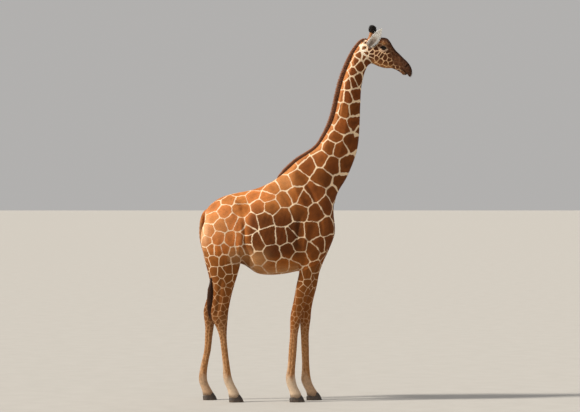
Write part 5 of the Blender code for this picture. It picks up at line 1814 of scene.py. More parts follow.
# ------------------------------------------------------------ hair meshes
def quick_mesh(name, verts, corners, sizes, colours, sheet, material):
    """One mesh straight from arrays, with the colour attribute tuft and the map OFBake."""
    mesh = bpy.data.meshes.new(name)
    mesh.vertices.add(len(verts))
    mesh.vertices.foreach_set("co", verts.astype(np.float32).ravel())
    mesh.loops.add(len(corners))
    mesh.loops.foreach_set("vertex_index", corners.astype(np.int32))
    mesh.polygons.add(len(sizes))
    starts = np.concatenate([[0], np.cumsum(sizes)[:-1]])
    mesh.polygons.foreach_set("loop_start", starts.astype(np.int32))
    mesh.polygons.foreach_set("loop_total", sizes.astype(np.int32))
    mesh.update(calc_edges=True)
    add_colour(mesh, "tuft", np.clip(colours, 0.002, 1.0))
    layer = mesh.uv_layers.new(name="OFBake")
    layer.data.foreach_set("uv", sheet[corners].astype(np.float32).ravel())
    mesh.shade_smooth()
    mesh.materials.append(material)
    obj = link(name, mesh)
    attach(obj, "root")
    return obj


def unit(v):
    return v / np.maximum(np.linalg.norm(v, axis=-1, keepdims=True), 1e-9)


PATCH = 0.0015  # half side of a tuft's place on the sheet


def slivers(name, mid, normal, lie, long, wide, lift, colour, place, material):
    """Closed four-sided slivers of fur lying along the hide, each centred on its point."""
    n = len(mid)
    side = unit(np.cross(normal, lie))
    root = mid - lie * (long * 0.5)[:, None]
    a = root - side * (wide / 2)[:, None] - normal * 0.0009
    b = root + side * (wide / 2)[:, None] - normal * 0.0009
    c = root + lie * (long * 0.30)[:, None] + normal * (0.16 * wide + 0.30 * lift)[:, None]
    t = root + lie * long[:, None] + normal * lift[:, None]
    verts = np.stack([a, b, c, t], axis=1).reshape(-1, 3)
    base = (np.arange(n) * 4)[:, None]
    corners = (base + np.array([[0, 2, 1, 0, 3, 2, 2, 3, 1, 0, 1, 3]])).ravel()
    sizes = np.full(n * 4, 3)
    shade = np.array([0.92, 0.92, 1.0, 1.06])
    colours = (colour[:, None, :] * shade[None, :, None]).reshape(-1, 3)
    offsets = np.array([(-PATCH, -PATCH), (PATCH, -PATCH), (0, 0), (0, PATCH)])
    sheet = (place[:, None, :] + offsets[None]).reshape(-1, 2)
    return quick_mesh(name, verts, corners, sizes, colours, sheet, material)


def locks(name, path, side, wide, flat, colour, place, material):
    """Closed three-sided locks through every station of their paths, ending in a point."""
    n, k = path.shape[:2]
    along = unit(np.gradient(path, axis=1))
    side = unit(side[:, None, :] - along * (along * side[:, None, :]).sum(axis=2, keepdims=True))
    up = np.cross(along, side)
    rings = np.stack([path - side * wide[..., None] / 2, path + side * wide[..., None] / 2, path + up * (wide * flat)[..., None]], axis=2)
    per = 3 * (k - 1) + 1
    verts = np.empty((n, per, 3))
    verts[:, :-1] = rings[:, : k - 1].reshape(n, -1, 3)
    verts[:, -1] = path[:, -1]
    corners, sizes = [0, 2, 1], [3]
    for i in range(k - 2):
        o = 3 * i
        for p, q in ((0, 1), (1, 2), (2, 0)):
            corners += [o + p, o + q, o + q + 3, o + p + 3]
            sizes.append(4)
    o, tip = 3 * (k - 2), per - 1
    for p, q in ((0, 1), (1, 2), (2, 0)):
        corners += [o + p, o + q, tip]
        sizes.append(3)
    corners = ((np.arange(n) * per)[:, None] + np.array([corners])).ravel()
    sizes = np.tile(sizes, n)
    if colour.ndim == 2:
        colour = np.repeat(colour[:, None, :], k, axis=1)
    colours = np.empty((n, per, 3))
    colours[:, :-1] = np.repeat(colour[:, : k - 1], 3, axis=1)
    colours[:, -1] = colour[:, -1]
    share = np.append(np.repeat(np.arange(k - 1) / (k - 1), 3), 1.0)
    across = np.append(np.tile([-1.0, 1.0, 0.0], k - 1), 0.0)
    offsets = np.stack([across * PATCH, (share * 2 - 1) * PATCH], axis=1)
    sheet = (place[:, None, :] + offsets[None]).reshape(-1, 2)
    return quick_mesh(name, verts.reshape(-1, 3), corners, sizes, colours.reshape(-1, 3), sheet, material)


def vertex_areas(mesh):
    area = np.empty(len(mesh.polygons), np.float32)
    mesh.polygons.foreach_get("area", area)
    sizes = np.empty(len(mesh.polygons), np.int32)
    mesh.polygons.foreach_get("loop_total", sizes)
    corners = np.empty(len(mesh.loops), np.int32)
    mesh.loops.foreach_get("vertex_index", corners)
    return np.bincount(corners, np.repeat(area / sizes, sizes), len(mesh.vertices))


def laid_hair():
    """Direction of the hair over the whole hide, smoothed, turned with the head and laid on the surface."""
    way = unit(lie_of(FLAT_POINTS, PART))
    ends = edge_ends(HIDE_MESH)
    ways = relax(way, ends, np.full(len(way), 0.55), 10)
    ears = PART >= 6
    ways[ears] = way[ears]
    step = 0.004
    turned = (turn_head(FLAT_POINTS + unit(ways) * step) - TURNED_POINTS) / step
    return unit(turned - HIDE_NORMALS * (turned * HIDE_NORMALS).sum(axis=1, keepdims=True))


HAIR_WAY = laid_hair()
HIDE_AREA = vertex_areas(HIDE_MESH)
HIDE_SHEET = sheet_of(FLAT_POINTS, PART) / SHEET


def rooted(mask, count, seed):
    """Vertices of the hide spread evenly over its surface where the mask is high."""
    rng = np.random.default_rng(seed)
    count = count
    total = np.cumsum(HIDE_AREA * mask)
    marks = (np.arange(count) + rng.random(count)) * total[-1] / count
    return np.minimum(np.searchsorted(total, marks), len(total) - 1), rng


def fur(name, mask, count, seed, long, wide, rise, material, tint=None, straggle=0.16):
    """A piece of the coat: slivers over part of the hide."""
    chosen, rng = rooted(mask, count, seed)
    n = len(chosen)
    normal, way = HIDE_NORMALS[chosen], HAIR_WAY[chosen]
    side = np.cross(normal, way)
    way = unit(way + side * rng.normal(0, straggle, n)[:, None])
    grain = np.sqrt(HIDE_AREA[chosen])
    mid = TURNED_POINTS[chosen] + side * (rng.uniform(-0.5, 0.5, n) * grain)[:, None] + way * (rng.uniform(-0.5, 0.5, n) * grain)[:, None]
    length = long[chosen] * rng.uniform(0.75, 1.25, n)
    width = wide[chosen] * rng.uniform(0.75, 1.25, n)
    height = length * rise[chosen] * rng.uniform(0.4, 1.5, n)
    colour = HAIR_COLOUR[chosen] * rng.uniform(0.90, 1.14, n)[:, None]
    # pale hair is painted lighter to make up for the shade each sliver casts on itself: painted light
    colour *= (1 + 0.30 * smooth_step((colour[:, 0] - 0.26) / 0.30))[:, None]
    if tint is not None:
        colour = mixed(colour, tint, rng.random(n) * 0.25)
    place = HIDE_SHEET[chosen]
    low, high = place.min(axis=0), place.max(axis=0)
    place = 0.004 + (place - low) / max((high - low).max(), 1e-6) * 0.992
    return slivers(name, mid, normal, way, length, width, height, colour, place, material)


HAIR_COLOUR = coat_colour(MARKS, np.random.default_rng(9).normal(0, 0.0012, len(PART)))


def coat():
    c, y, r = grid_of(FLAT_POINTS)
    part = PART
    coat_tufts = tuft_material("coat_tufts")
    hub = np.linalg.norm(FLAT_POINTS - HEAD_HUB, axis=1)
    legs = (part >= 2) & (part <= 5)
    n = len(part)
    # lengths over the whole hide
    long = np.full(n, 0.0165)
    long = np.where((part == 0) & (r < 150), 0.0200, long)  # belly
    long = np.where((part == 0) & (r > 215), 0.0150, long)
    long = np.where(legs, 0.0090 + 0.0060 * smooth_step((r - 60) / 80), long)
    back_of_fetlock = legs * bell(r, 22, 9) * smooth_step(-HIDE_NORMALS[:, 0] / 0.6)
    long = long + 0.0080 * back_of_fetlock
    long = np.where(part == 1, 0.0072 + 0.0040 * smooth_step((180 - c) / 8), long)
    long = np.where((part == 1) & (c > 200), 0.0050, long)
    long = np.where((part == 6) | (part == 7), 0.0120, long)
    long = np.where(part == 8, 0.0180, long)
    wide = np.clip(long * 0.135, 0.0009, 0.0025)
    rise = np.full(n, 0.095)
    rise = np.where(legs, 0.060, rise)
    rise = np.where(part == 1, 0.11, rise)
    rise = rise + 0.14 * back_of_fetlock
    ear_edge = np.zeros(n)
    for number, s_ in ((6, -1), (7, 1)):
        on = part == number
        reach, across, deep = ear_coordinates(FLAT_POINTS[on], s_)
        share = np.clip((reach + 0.04) / EAR_LENGTH, 0, 1)
        half = np.interp(share, np.linspace(0, 1, 30), [ear_half(x) for x in np.linspace(0, 1, 30)])
        ear_edge[on] = smooth_step((np.abs(across) / np.maximum(half, 0.006) - 0.72) / 0.2)
    # the lids and the rims of mouth and nostrils stay bare
    bare = np.zeros(n)
    for s_ in (-1, 1):
        rim, u, v, w = lid_field(FLAT_POINTS, s_)
        near = (part == 1) & (np.where(y < 0, -1, 1) == s_)
        bare = np.maximum(bare, near * (1 - smooth_step((rim - 0.004) / 0.004)))
        bare = np.maximum(bare, 1.2 * stroke(FLAT_POINTS, both(NOSTRIL, s_), 0.0060))
        bare = np.maximum(bare, 1.0 * stroke(FLAT_POINTS, both(MOUTH, s_), 0.0040))
    open_skin = np.clip(1 - bare, 0, 1)
    long = long + 0.0070 * ear_edge
    pieces = []
    right, left = y < 0, y >= 0
    trunk, neck = (part == 0) & (r < 222), (part == 0) & (r >= 222)
    for word, mine, seed in (("right", right, 1), ("left", left, 2)):
        pieces.append(fur("coat_trunk_" + word, trunk & mine, 36000, 100 + seed, long, wide, rise, coat_tufts))
        pieces.append(fur("coat_neck_" + word, neck & mine, 19000, 110 + seed, long, wide, rise, coat_tufts))
        pieces.append(fur("coat_legs_" + word, legs & mine, 27000, 120 + seed, long, wide, rise, coat_tufts))
    pieces.append(fur("coat_head", (part == 1) * open_skin, 34000, 131, long, wide, rise, coat_tufts))
    pieces.append(fur("coat_ears", ((part == 6) | (part == 7)) * (1 + 2.5 * ear_edge), 13000, 132, long, wide * 0.8, rise + 0.10 * ear_edge, coat_tufts, straggle=0.25))
    pieces.append(fur("coat_tail", part == 8, 5000, 133, long, wide, rise, coat_tufts))
    return pieces


COAT = coat()


# ------------------------------------------------------------ mane
def crest(rows, per_span):
    """Foot, height and up direction along the mane."""
    line = spline(rows, per_span)
    foot = np.array([at(c, r)[:] for c, r, h in line])
    along = unit(np.gradient(foot, axis=0))
    up = np.stack([-along[:, 2], np.zeros(len(along)), along[:, 0]], axis=1)
    return foot, along, up, line[:, 2] * U


def mane():
    rng = np.random.default_rng(21)
    foot, along, up, high = crest(MANE, 6)
    step = np.linalg.norm(np.diff(foot, axis=0), axis=1)
    s = np.concatenate([[0], np.cumsum(step)])
    hair = tuft_material("mane_locks", 0.58, 0.16, 0.02)

    count = 9000
    t = np.sort(rng.random(count)) * s[-1]
    pick = lambda a: np.stack([np.interp(t, s, a[:, k]) for k in range(3)], axis=1)
    root, way, rise = pick(foot), unit(pick(along)), unit(pick(up))
    height = np.interp(t, s, high)
    # clumps: locks lean together every few centimetres
    lean = 0.07 * np.sin(t * 2 * np.pi / 0.031 + 1.3 * np.sin(t * 31.0)) + rng.normal(0, 0.07, count)
    aside = rng.normal(0, 1, count)
    aside = np.clip(aside, -2, 2) / 2
    out = np.tile([0.0, 1.0, 0.0], (count, 1))
    depth = 0.016
    length = height * rng.uniform(0.78, 1.04, count) * (1 - 0.16 * aside**2) + depth
    start = root - rise * depth + out * (aside * 0.0165)[:, None] + way * rng.normal(0, 0.002, count)[:, None]
    k = 4
    share = np.array([0.0, 0.38, 0.74, 1.0])[None, :, None]
    bend = (-0.16 + lean)[:, None, None] * way[:, None, :] * share**1.6
    spread = (aside * 0.20 + rng.normal(0, 0.05, count))[:, None, None] * out[:, None, :] * share
    path = start[:, None, :] + length[:, None, None] * (rise[:, None, :] * share + bend + spread * 0.55)
    path = turn_head(path.reshape(-1, 3)).reshape(count, k, 3)
    wide = rng.uniform(0.0018, 0.0036, count)[:, None] * np.array([[0.9, 1.0, 0.75, 0.0]])
    dark, rust, tip = tone(0.112, 0.036, 0.015), tone(0.255, 0.090, 0.036), tone(0.300, 0.140, 0.075)
    base = mixed(np.tile(dark, (count, 1)), rust, 0.25 + 0.55 * rng.random(count))
    tips = mixed(base, np.tile(tip, (count, 1)), 0.15 + 0.5 * rng.random(count))
    colour = base[:, None, :] + (tips - base)[:, None, :] * share**1.5
    # painted shade darkens each lock towards its root, deep in the brush, and painted light brightens its tip
    colour = colour * np.array([0.55, 0.95, 1.08, 1.12])[None, :, None]
    place = np.stack([0.01 + 0.98 * t / s[-1], 0.5 + 0.22 * aside], axis=1)
    side = out * 0.4 + way * rng.choice([-1, 1], count)[:, None] + rng.normal(0, 0.3, (count, 3))
    brush = locks("mane_locks", path, side, wide, 0.55, colour, place, hair)
    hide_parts("mane")

    # a solid core inside the brush, coloured dark as painted shade between the locks
    core = bmesh.new()
    rings = []
    line = spline(MANE, 4)
    for i, (column, row, height_) in enumerate(line):
        ahead, behind = line[min(i + 1, len(line) - 1)], line[max(i - 1, 0)]
        direction = (at(ahead[0], ahead[1]) - at(behind[0], behind[1])).normalized()
        upward = Vector((-direction.z, 0, direction.x))
        base_at = at(column, row) - upward * 0.020
        tall = height_ * U * 0.66 + 0.020
        ring = []
        for j in range(14):
            angle = 2 * math.pi * (j + 0.5) / 14
            v = 0.5 + 0.5 * math.cos(angle)
            half = 0.0165 + (0.0060 - 0.0165) * v
            ring.append(base_at + upward * (tall * v) + Vector((0, half * math.sin(angle), 0)))
        rings.append(ring)
    loft(core, rings)
    bmesh.ops.recalc_face_normals(core, faces=core.faces)
    mesh = bpy.data.meshes.new("mane_painted_shade_core")
    core.to_mesh(mesh)
    core.free()
    set_points(mesh, turn_head(vertex_points(mesh)))
    mesh.shade_smooth()
    m = Nodes("mane_painted_shade_core")
    streak = m.noise(m.place((60.0, 400.0, 60.0)), 1.0, 2.0, 0.6)
    m.set(base_color=m.mix(m.span(streak, 0.3, 0.7).outputs["Result"], (0.030, 0.010, 0.005), (0.110, 0.038, 0.015)), roughness=0.8, normal=m.bump(streak, 0.6, 0.004))
    mesh.materials.append(m.material)
    obj = link("mane_painted_shade_core", mesh)
    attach(obj, "root")
    return [brush, obj]


MANE_PIECES = mane()


# ------------------------------------------------------------ tail tassel
def tassel():
    rng = np.random.default_rng(22)
    hair = tuft_material("tassel_locks", 0.45, 0.35, 0.02)
    line = spline(TASSEL, 6)
    centre = np.array([at(c, r)[:] for c, r, h in line])
    s = np.concatenate([[0], np.cumsum(np.linalg.norm(np.diff(centre, axis=0), axis=1))])
    count, k = (850), 10
    reach = s[-1] * rng.beta(5, 1.6, count)
    begin = -0.055 * rng.random(count)
    share = np.linspace(0, 1, k)[None, :]
    t = begin[:, None] + (reach - begin)[:, None] * share
    angle = rng.uniform(0, 2 * np.pi, count)[:, None] + rng.normal(0, 0.5, count)[:, None] * share
    rho = np.sqrt(rng.random(count))[:, None]
    radius = np.interp(t, s, line[:, 2])
    near = smooth_step((t + 0.02) / 0.10)
    radius = np.where(t < 0.02, 0.0135, 0.0135 * (1 - near) + radius * near) * (0.35 + 0.62 * rho)
    wave = 0.0032 * np.sin(t * 2 * np.pi / rng.uniform(0.09, 0.17, count)[:, None] + rng.uniform(0, 6.28, count)[:, None]) * near
    line_x, line_z = np.interp(t, s, centre[:, 0]), np.interp(t, s, centre[:, 2])
    line_z = np.where(t < 0, centre[0, 2] - t, line_z)
    path = np.stack([line_x + (radius + wave) * np.cos(angle), (radius + wave * 0.7) * np.sin(angle), line_z], axis=2)
    wide = rng.uniform(0.0022, 0.0036, count)[:, None] * np.append(np.linspace(1.0, 0.45, k - 1), 0.0)[None, :]
    base = mixed(np.tile(tone(0.026, 0.0095, 0.0042), (count, 1)), tone(0.135, 0.048, 0.016), rng.random(count) ** 1.5)
    # painted shade darkens each lock towards its root, inside the tassel, and painted light brightens its tip
    colour = base[:, None, :] * np.linspace(0.8, 1.35, k)[None, :, None]
    place = np.stack([0.02 + 0.96 * rng.random(count), 0.02 + 0.96 * (angle[:, 0] % 6.283) / 6.283], axis=1)
    side = np.stack([-np.sin(angle[:, 0]), np.cos(angle[:, 0]), np.zeros(count)], axis=1)
    obj = locks("tail_locks", path, side, wide, 0.5, colour, place, hair)
    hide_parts("tail_tassel")
    return obj


TASSEL_PIECE = tassel()


# ------------------------------------------------------------ ossicones
def ossicones():
    out = []
    shaft_look = Nodes("ossicone_fur")
    streak = shaft_look.noise(shaft_look.place((420.0, 420.0, 36.0)), 1.0, 3.0, 0.6)
    cloud = shaft_look.noise(shaft_look.place((1.0, 1.0, 1.0)), 40.0, 2.0, 0.5)
    high = shaft_look.attribute("high")
    tan = shaft_look.mix(shaft_look.span(streak, 0.3, 0.7).outputs["Result"], (0.30, 0.115, 0.036), (0.46, 0.200, 0.075))
    tan = shaft_look.mix(shaft_look.span(cloud, 0.4, 0.7, 0.0, 0.5).outputs["Result"], tan, (0.24, 0.090, 0.032))
    shaft_look.set(base_color=shaft_look.mix(high, tan, (0.012, 0.009, 0.008)), roughness=0.66, normal=shaft_look.bump(streak, 0.5, 0.0020))
    hair = tuft_material("ossicone_locks", 0.5, 0.3, 0.02)
    for s_, word in ((-1, "right"), (1, "left")):
        rng = np.random.default_rng(30 + s_)
        root, along = horn_frame(s_)
        fore = Vector((1, 0, 0))
        across = along.cross(fore).normalized()
        fore = across.cross(along).normalized()
        bm = bmesh.new()
        rings = []
        stations = spline([(-0.42, 0.0360), (-0.18, 0.0330), (-0.04, 0.0285), (0.12, 0.0230), (0.26, 0.0200), (0.40, 0.0192), (0.54, 0.0210), (0.68, 0.0238), (0.80, 0.0225), (0.88, 0.0170), (0.92, 0.0060)], 4)
        for share, radius in stations:
            middle = root + along * (HORN_LENGTH * share)
            lump = 1 + 0.03 * math.sin(share * 21.0 + s_)
            rings.append(oval(middle, fore, across, max(radius, 0.002) * lump, max(radius, 0.002), 2.0, 0.0, 28))
        loft(bm, rings)
        bmesh.ops.recalc_face_normals(bm, faces=bm.faces)
        mesh = bpy.data.meshes.new("ossicone_" + word)
        bm.to_mesh(mesh)
        bm.free()
        points = vertex_points(mesh)
        share = (points - np.array(root)) @ np.array(along) / HORN_LENGTH
        add_scalar(mesh, "high", smooth_step((share - 0.50 + 0.03 * ripple(points, 140, 0.02)) / 0.12))
        set_points(mesh, turn_head(points))
        mesh.shade_smooth()
        mesh.materials.append(shaft_look.material)
        shaft = link("horn_" + word, mesh)
        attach(shaft, "root")
        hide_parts("ossicone_" + word)

        # short fur on the shaft, long black hair round the knob
        a3, f3, c3 = np.array(along), np.array(fore), np.array(across)
        for kind, count in (("shaft", 2000), ("tuft", 1300)):
            count = count
            angle = rng.uniform(0, 2 * np.pi, count)
            radial = np.cos(angle)[:, None] * f3 + np.sin(angle)[:, None] * c3
            if kind == "shaft":
                share = rng.uniform(-0.40, 0.62, count)
                length = rng.uniform(0.008, 0.014, count)
            else:
                share = 0.46 + 0.46 * rng.random(count) ** 0.8
                length = rng.uniform(0.025, 0.041, count) * (1.05 - 0.35 * smooth_step((share - 0.75) / 0.2))
            radius = np.interp(share, stations[:, 0], stations[:, 1]) - 0.002
            start = np.array(root) + a3 * (HORN_LENGTH * share)[:, None] + radial * radius[:, None]
            if kind == "shaft":
                way = unit(a3[None, :] + radial * rng.uniform(0.06, 0.18, count)[:, None] + rng.normal(0, 0.09, (count, 3)))
                ending = way
                base = mixed(np.tile(tone(0.38, 0.155, 0.052), (count, 1)), tone(0.62, 0.31, 0.13), rng.random(count))
                base = mixed(base, tone(0.015, 0.010, 0.008), smooth_step((share - 0.44) / 0.14))
                width = np.full(count, 0.0013)
            else:
                open_ = 0.84 * (1 - smooth_step((share - 0.55) / 0.40)) + 0.22
                way = unit(a3[None, :] * 0.8 + radial * open_[:, None] + rng.normal(0, 0.12, (count, 3)))
                ending = unit(a3[None, :] * 1.0 + radial * (open_ * 0.25)[:, None] + rng.normal(0, 0.22, (count, 3)))
                base = mixed(np.tile(tone(0.006, 0.005, 0.005), (count, 1)), tone(0.030, 0.018, 0.013), rng.random(count) ** 2)
                width = rng.uniform(0.0016, 0.0026, count)
            k = 4
            f = np.linspace(0, 1, k)[None, :, None]
            path = start[:, None, :] + length[:, None, None] * (way[:, None, :] * (f - 0.5 * f * f) * 1.15 + ending[:, None, :] * 0.5 * f * f)
            path = turn_head(path.reshape(-1, 3)).reshape(count, k, 3)
            wide = width[:, None] * np.array([[0.9, 1.0, 0.7, 0.0]])
            # painted shade darkens each lock towards its root and painted light brightens its tip
            colour = base[:, None, :] * np.array([0.75, 1.0, 1.1, 1.2])[None, :, None]
            place = np.stack([0.02 + 0.96 * angle / 6.2832, 0.02 + 0.96 * (share + 0.1) / 1.1], axis=1)
            side = np.cross(way, radial) + rng.normal(0, 0.2, (count, 3))
            piece = locks("horn_" + kind + "_" + word, path, side, wide, 0.5, colour, place, hair)
            out.append(piece)
    return out


OSSICONES = ossicones()


# ------------------------------------------------------------ eyes, lashes, whiskers
def eyes():
    m = Nodes("eye_wet")
    iris = m.attribute("iris", "Color")
    streaks = m.noise(m.place((1.0, 1.0, 1.0)), 600.0, 2.0, 0.5)
    m.set(base_color=m.scaled(iris, m.span(streaks, 0.3, 0.7, 0.75, 1.25).outputs["Result"]), roughness=0.06)
    m.shader.inputs["Specular IOR Level"].default_value = 0.22
    for s_, word in ((-1, "right"), (1, "left")):
        out, ahead, up = eye_axes(s_)
        centre = np.array(at(EYE_COLUMN, EYE_ROW, s_ * EYE_OUT))
        bm = bmesh.new()
        bmesh.ops.create_uvsphere(bm, u_segments=72, v_segments=48, radius=EYE_RADIUS)
        mesh = bpy.data.meshes.new("eyeball_" + word)
        bm.to_mesh(mesh)
        bm.free()
        q = vertex_points(mesh)
        # poles of the sphere along the line of sight
        local = np.stack([q[:, 0], q[:, 1], q[:, 2]], axis=1)
        world = local[:, :1] * ahead + local[:, 1:2] * up + local[:, 2:] * out
        off = np.arccos(np.clip(local[:, 2] / EYE_RADIUS, -1, 1))
        world *= (1 + 0.045 * np.exp(-((off / 0.52) ** 2)))[:, None]  # the cornea stands out a little
        u, v = local[:, 0] / EYE_RADIUS, local[:, 1] / EYE_RADIUS
        pupil = 1 - smooth_step((np.hypot(u / 0.40, v / 0.24) - 0.92) / 0.16)
        ring = smooth_step((off - 0.62) / 0.10)
        white = smooth_step((off - 0.80) / 0.16)
        angle = np.arctan2(v, u)
        colour = np.tile(tone(0.026, 0.011, 0.005), (len(q), 1)) * (1 + 0.35 * np.sin(angle * 37) * np.sin(angle * 23 + 1))[:, None]
        colour = mixed(colour, tone(0.004, 0.003, 0.003), pupil)
        colour = mixed(colour, tone(0.010, 0.006, 0.004), ring)
        colour = mixed(colour, tone(0.060, 0.038, 0.028), white)
        add_colour(mesh, "iris", colour)
        place = at(EYE_COLUMN, EYE_ROW, s_ * EYE_OUT)
        set_points(mesh, turn_head(world + centre))
        mesh.shade_smooth()
        mesh.materials.append(m.material)
        ball = link("eyeball_" + word, mesh)
        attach(ball, "root")
        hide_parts("eye_" + word)


def lashes():
    hair = tuft_material("lash_hair", 0.5, 0.3, 0.0)
    wrap = EYE_RADIUS + 0.0030
    for s_, word in ((-1, "right"), (1, "left")):
        rng = np.random.default_rng(50 + s_)
        out, ahead, up = eye_axes(s_)
        centre = np.array(at(EYE_COLUMN, EYE_ROW, s_ * EYE_OUT))
        paths, sides, widths, places = [], [], [], []
        for lid, count, long in (("upper", 120, 0.034), ("lower", 60, 0.013)):
            u = rng.uniform(-0.98, 0.98, count) * LID_LONG
            top, bottom = lid_curve(u)
            v = top + 0.0012 if lid == "upper" else bottom - 0.0008
            w = np.sqrt(np.maximum(wrap**2 - u**2 - v**2, 1e-6)) - 0.0012
            root = centre + u[:, None] * ahead + v[:, None] * up + w[:, None] * out
            fan = u / LID_LONG
            if lid == "upper":
                first = unit(out[None] * 0.95 + up[None] * -0.10 + ahead[None] * (0.50 * fan[:, None] + 0.10) + rng.normal(0, 0.10, (count, 3)))
                last = unit(out[None] * 0.50 + up[None] * -0.55 + ahead[None] * (0.85 * fan[:, None] + 0.25) + rng.normal(0, 0.12, (count, 3)))
            else:
                first = unit(out[None] * 0.75 - up[None] * 0.35 + ahead[None] * 0.45 * fan[:, None] + rng.normal(0, 0.14, (count, 3)))
                last = unit(out[None] * 0.45 - up[None] * 0.70 + ahead[None] * 0.6 * fan[:, None] + rng.normal(0, 0.14, (count, 3)))
            size = long * rng.uniform(0.65, 1.1, count) * (1 - 0.35 * np.abs(fan) ** 2)
            f = np.linspace(0, 1, 6)[None, :, None]
            paths.append(root[:, None, :] + size[:, None, None] * (first[:, None, :] * (f - 0.5 * f * f) + last[:, None, :] * 0.5 * f * f) * 1.1)
            sides.append(np.cross(first, np.tile(up, (count, 1))))
            widths.append(rng.uniform(0.0010, 0.0015, count)[:, None] * np.array([[1.0, 0.95, 0.8, 0.6, 0.4, 0.0]]))
            places.append(np.stack([0.5 + 0.45 * fan, np.full(count, 0.7 if lid == "upper" else 0.3)], axis=1))
        path = np.concatenate(paths)
        path = turn_head(path.reshape(-1, 3)).reshape(path.shape)
        n = len(path)
        colour = np.tile(tone(0.010, 0.007, 0.006), (n, 1)) * rng.uniform(0.7, 1.6, n)[:, None]
        piece = locks("lashes_" + word, path, np.concatenate(sides), np.concatenate(widths), 0.6, colour, np.concatenate(places), hair)


def whiskers():
    hair = tuft_material("whisker_hair", 0.5, 0.3, 0.0)
    rng = np.random.default_rng(60)
    c, y, r = grid_of(FLAT_POINTS)
    muzzle = (PART == 1) & (c > 203.0)
    low = muzzle * (0.05 + smooth_step((332 - r) / 5)) * smooth_step((c - 202) / 5)
    chosen, _ = rooted(low.astype(float), 260, 61)
    n = len(chosen)
    normal, way = HIDE_NORMALS[chosen], HAIR_WAY[chosen]
    down = np.array([0.15, 0.0, -0.65])
    first = unit(normal * 0.9 + way * 0.25 + down * 0.2 + rng.normal(0, 0.16, (n, 3)))
    last = unit(normal * 0.5 + down + rng.normal(0, 0.2, (n, 3)))
    size = rng.uniform(0.009, 0.024, n)
    f = np.linspace(0, 1, 5)[None, :, None]
    path = (TURNED_POINTS[chosen] - normal * 0.001)[:, None, :] + size[:, None, None] * (first[:, None, :] * (f - 0.5 * f * f) + last[:, None, :] * 0.5 * f * f)
    wide = rng.uniform(0.0006, 0.0009, n)[:, None] * np.array([[1.0, 0.9, 0.7, 0.5, 0.0]])
    colour = mixed(np.tile(tone(0.030, 0.016, 0.010), (n, 1)), tone(0.42, 0.30, 0.20), rng.random(n) ** 2)
    place = 0.02 + 0.96 * rng.random((n, 2))
    piece = locks("whiskers", path, np.cross(first, way), wide, 0.6, colour, place, hair)


eyes()
lashes()
whiskers()


# ------------------------------------------------------------ hooves
def hooves():
    m = Nodes("hoof_horn")
    rings = m.noise(m.place((12.0, 12.0, 210.0)), 1.0, 3.0, 0.6)
    grain = m.noise(m.place((240.0, 240.0, 14.0)), 1.0, 3.0, 0.6)
    dust = m.noise(m.place((1.0, 1.0, 1.0)), 26.0, 4.0, 0.6)
    horn_tone = m.mix(m.span(rings, 0.3, 0.7).outputs["Result"], (0.012, 0.0075, 0.0055), (0.036, 0.022, 0.014))
    horn_tone = m.mix(m.span(grain, 0.35, 0.7, 0.0, 0.5).outputs["Result"], horn_tone, (0.052, 0.033, 0.022))
    low = m.attribute("low")
    dusty = m.math("MULTIPLY", m.span(dust, 0.42, 0.68).outputs["Result"], m.math("ADD", m.math("MULTIPLY", low, 0.34), 0.04))
    m.set(
        base_color=m.mix(dusty, horn_tone, (0.26, 0.185, 0.125)),
        roughness=m.span(dust, 0.3, 0.7, 0.42, 0.72).outputs["Result"],
        normal=m.bump(grain, 0.35, 0.0012, m.bump(rings, 0.5, 0.0022)),
    )
    for name, heel, toe, s_, out in HOOVES:
        length = (toe - heel) * U
        centre = at((toe + heel) / 2, 0, s_ * out)
        bm = bmesh.new()
        heights = np.concatenate([[0.0, 0.0022], np.linspace(0.006, 0.062, 22), [0.066, 0.070, 0.0735, 0.0765, 0.0785]])
        for claw in (-1, 1):
            rings_ = []
            for z in heights:
                grow = np.interp(z, [0.0, 0.0022, 0.010, 0.035, 0.060, 0.100], [0.975, 1.0, 1.0, 0.93, 0.83, 0.72])
                shift = np.interp(z, [0.0, 0.010, 0.035, 0.060, 0.100], [0.0, -0.001, -0.008, -0.018, -0.030])
                grow *= np.interp(z, [0.062, 0.066, 0.070, 0.0735, 0.0765, 0.0785], [1.0, 0.985, 0.95, 0.88, 0.74, 0.45])
                grow *= 1 + 0.005 * math.sin(z * 2 * math.pi / 0.0105 + 0.6 * math.sin(z * 90))
                ring = []
                for j in range(26):  # toe to heel along the outer wall
                    a = math.pi * (j + 0.5) / 26
                    x = math.copysign(abs(math.cos(a)) ** 0.86, math.cos(a)) * length / 2
                    wide = 0.0035 + 0.0535 * math.sin(a) ** 0.72
                    wide *= 1 - 0.16 * (x / (length / 2)) * (1 if x > 0 else 0.3)  # narrower at the toe
                    ring.append((x, wide))
                for j in range(12):  # heel to toe along the cleft
                    x = -length / 2 * 0.93 + length * 0.93 * (j + 0.5) / 12
                    ring.append((x, 0.0035 + 0.0035 * smooth_step(np.array((x / (length / 2) - 0.35) / 0.6)).item()))
                lean = 0.010 * smooth_step(np.array((z - 0.020) / 0.050)).item()
                ring = [(x - lean * max(0.0, x / (length / 2)), w) for x, w in ring]
                tilt = 0.26 * smooth_step(np.array((z - 0.015) / 0.045)).item()
                rings_.append([centre + Vector((x * grow + shift, claw * w * (grow if w > 0.008 else 1.0), z + tilt * x)) for x, w in ring])
            loft(bm, rings_)
        bmesh.ops.recalc_face_normals(bm, faces=bm.faces)
        mesh = bpy.data.meshes.new(name + "_claws")
        bm.to_mesh(mesh)
        bm.free()
        points = vertex_points(mesh)
        points[:, 2] = np.maximum(points[:, 2], 0.0)
        set_points(mesh, points)
        add_scalar(mesh, "low", 1 - smooth_step(points[:, 2] / 0.05))
        mesh.shade_smooth()
        mesh.materials.append(m.material)
        obj = link(name + "_claws", mesh)
        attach(obj, "root")
        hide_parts(name)


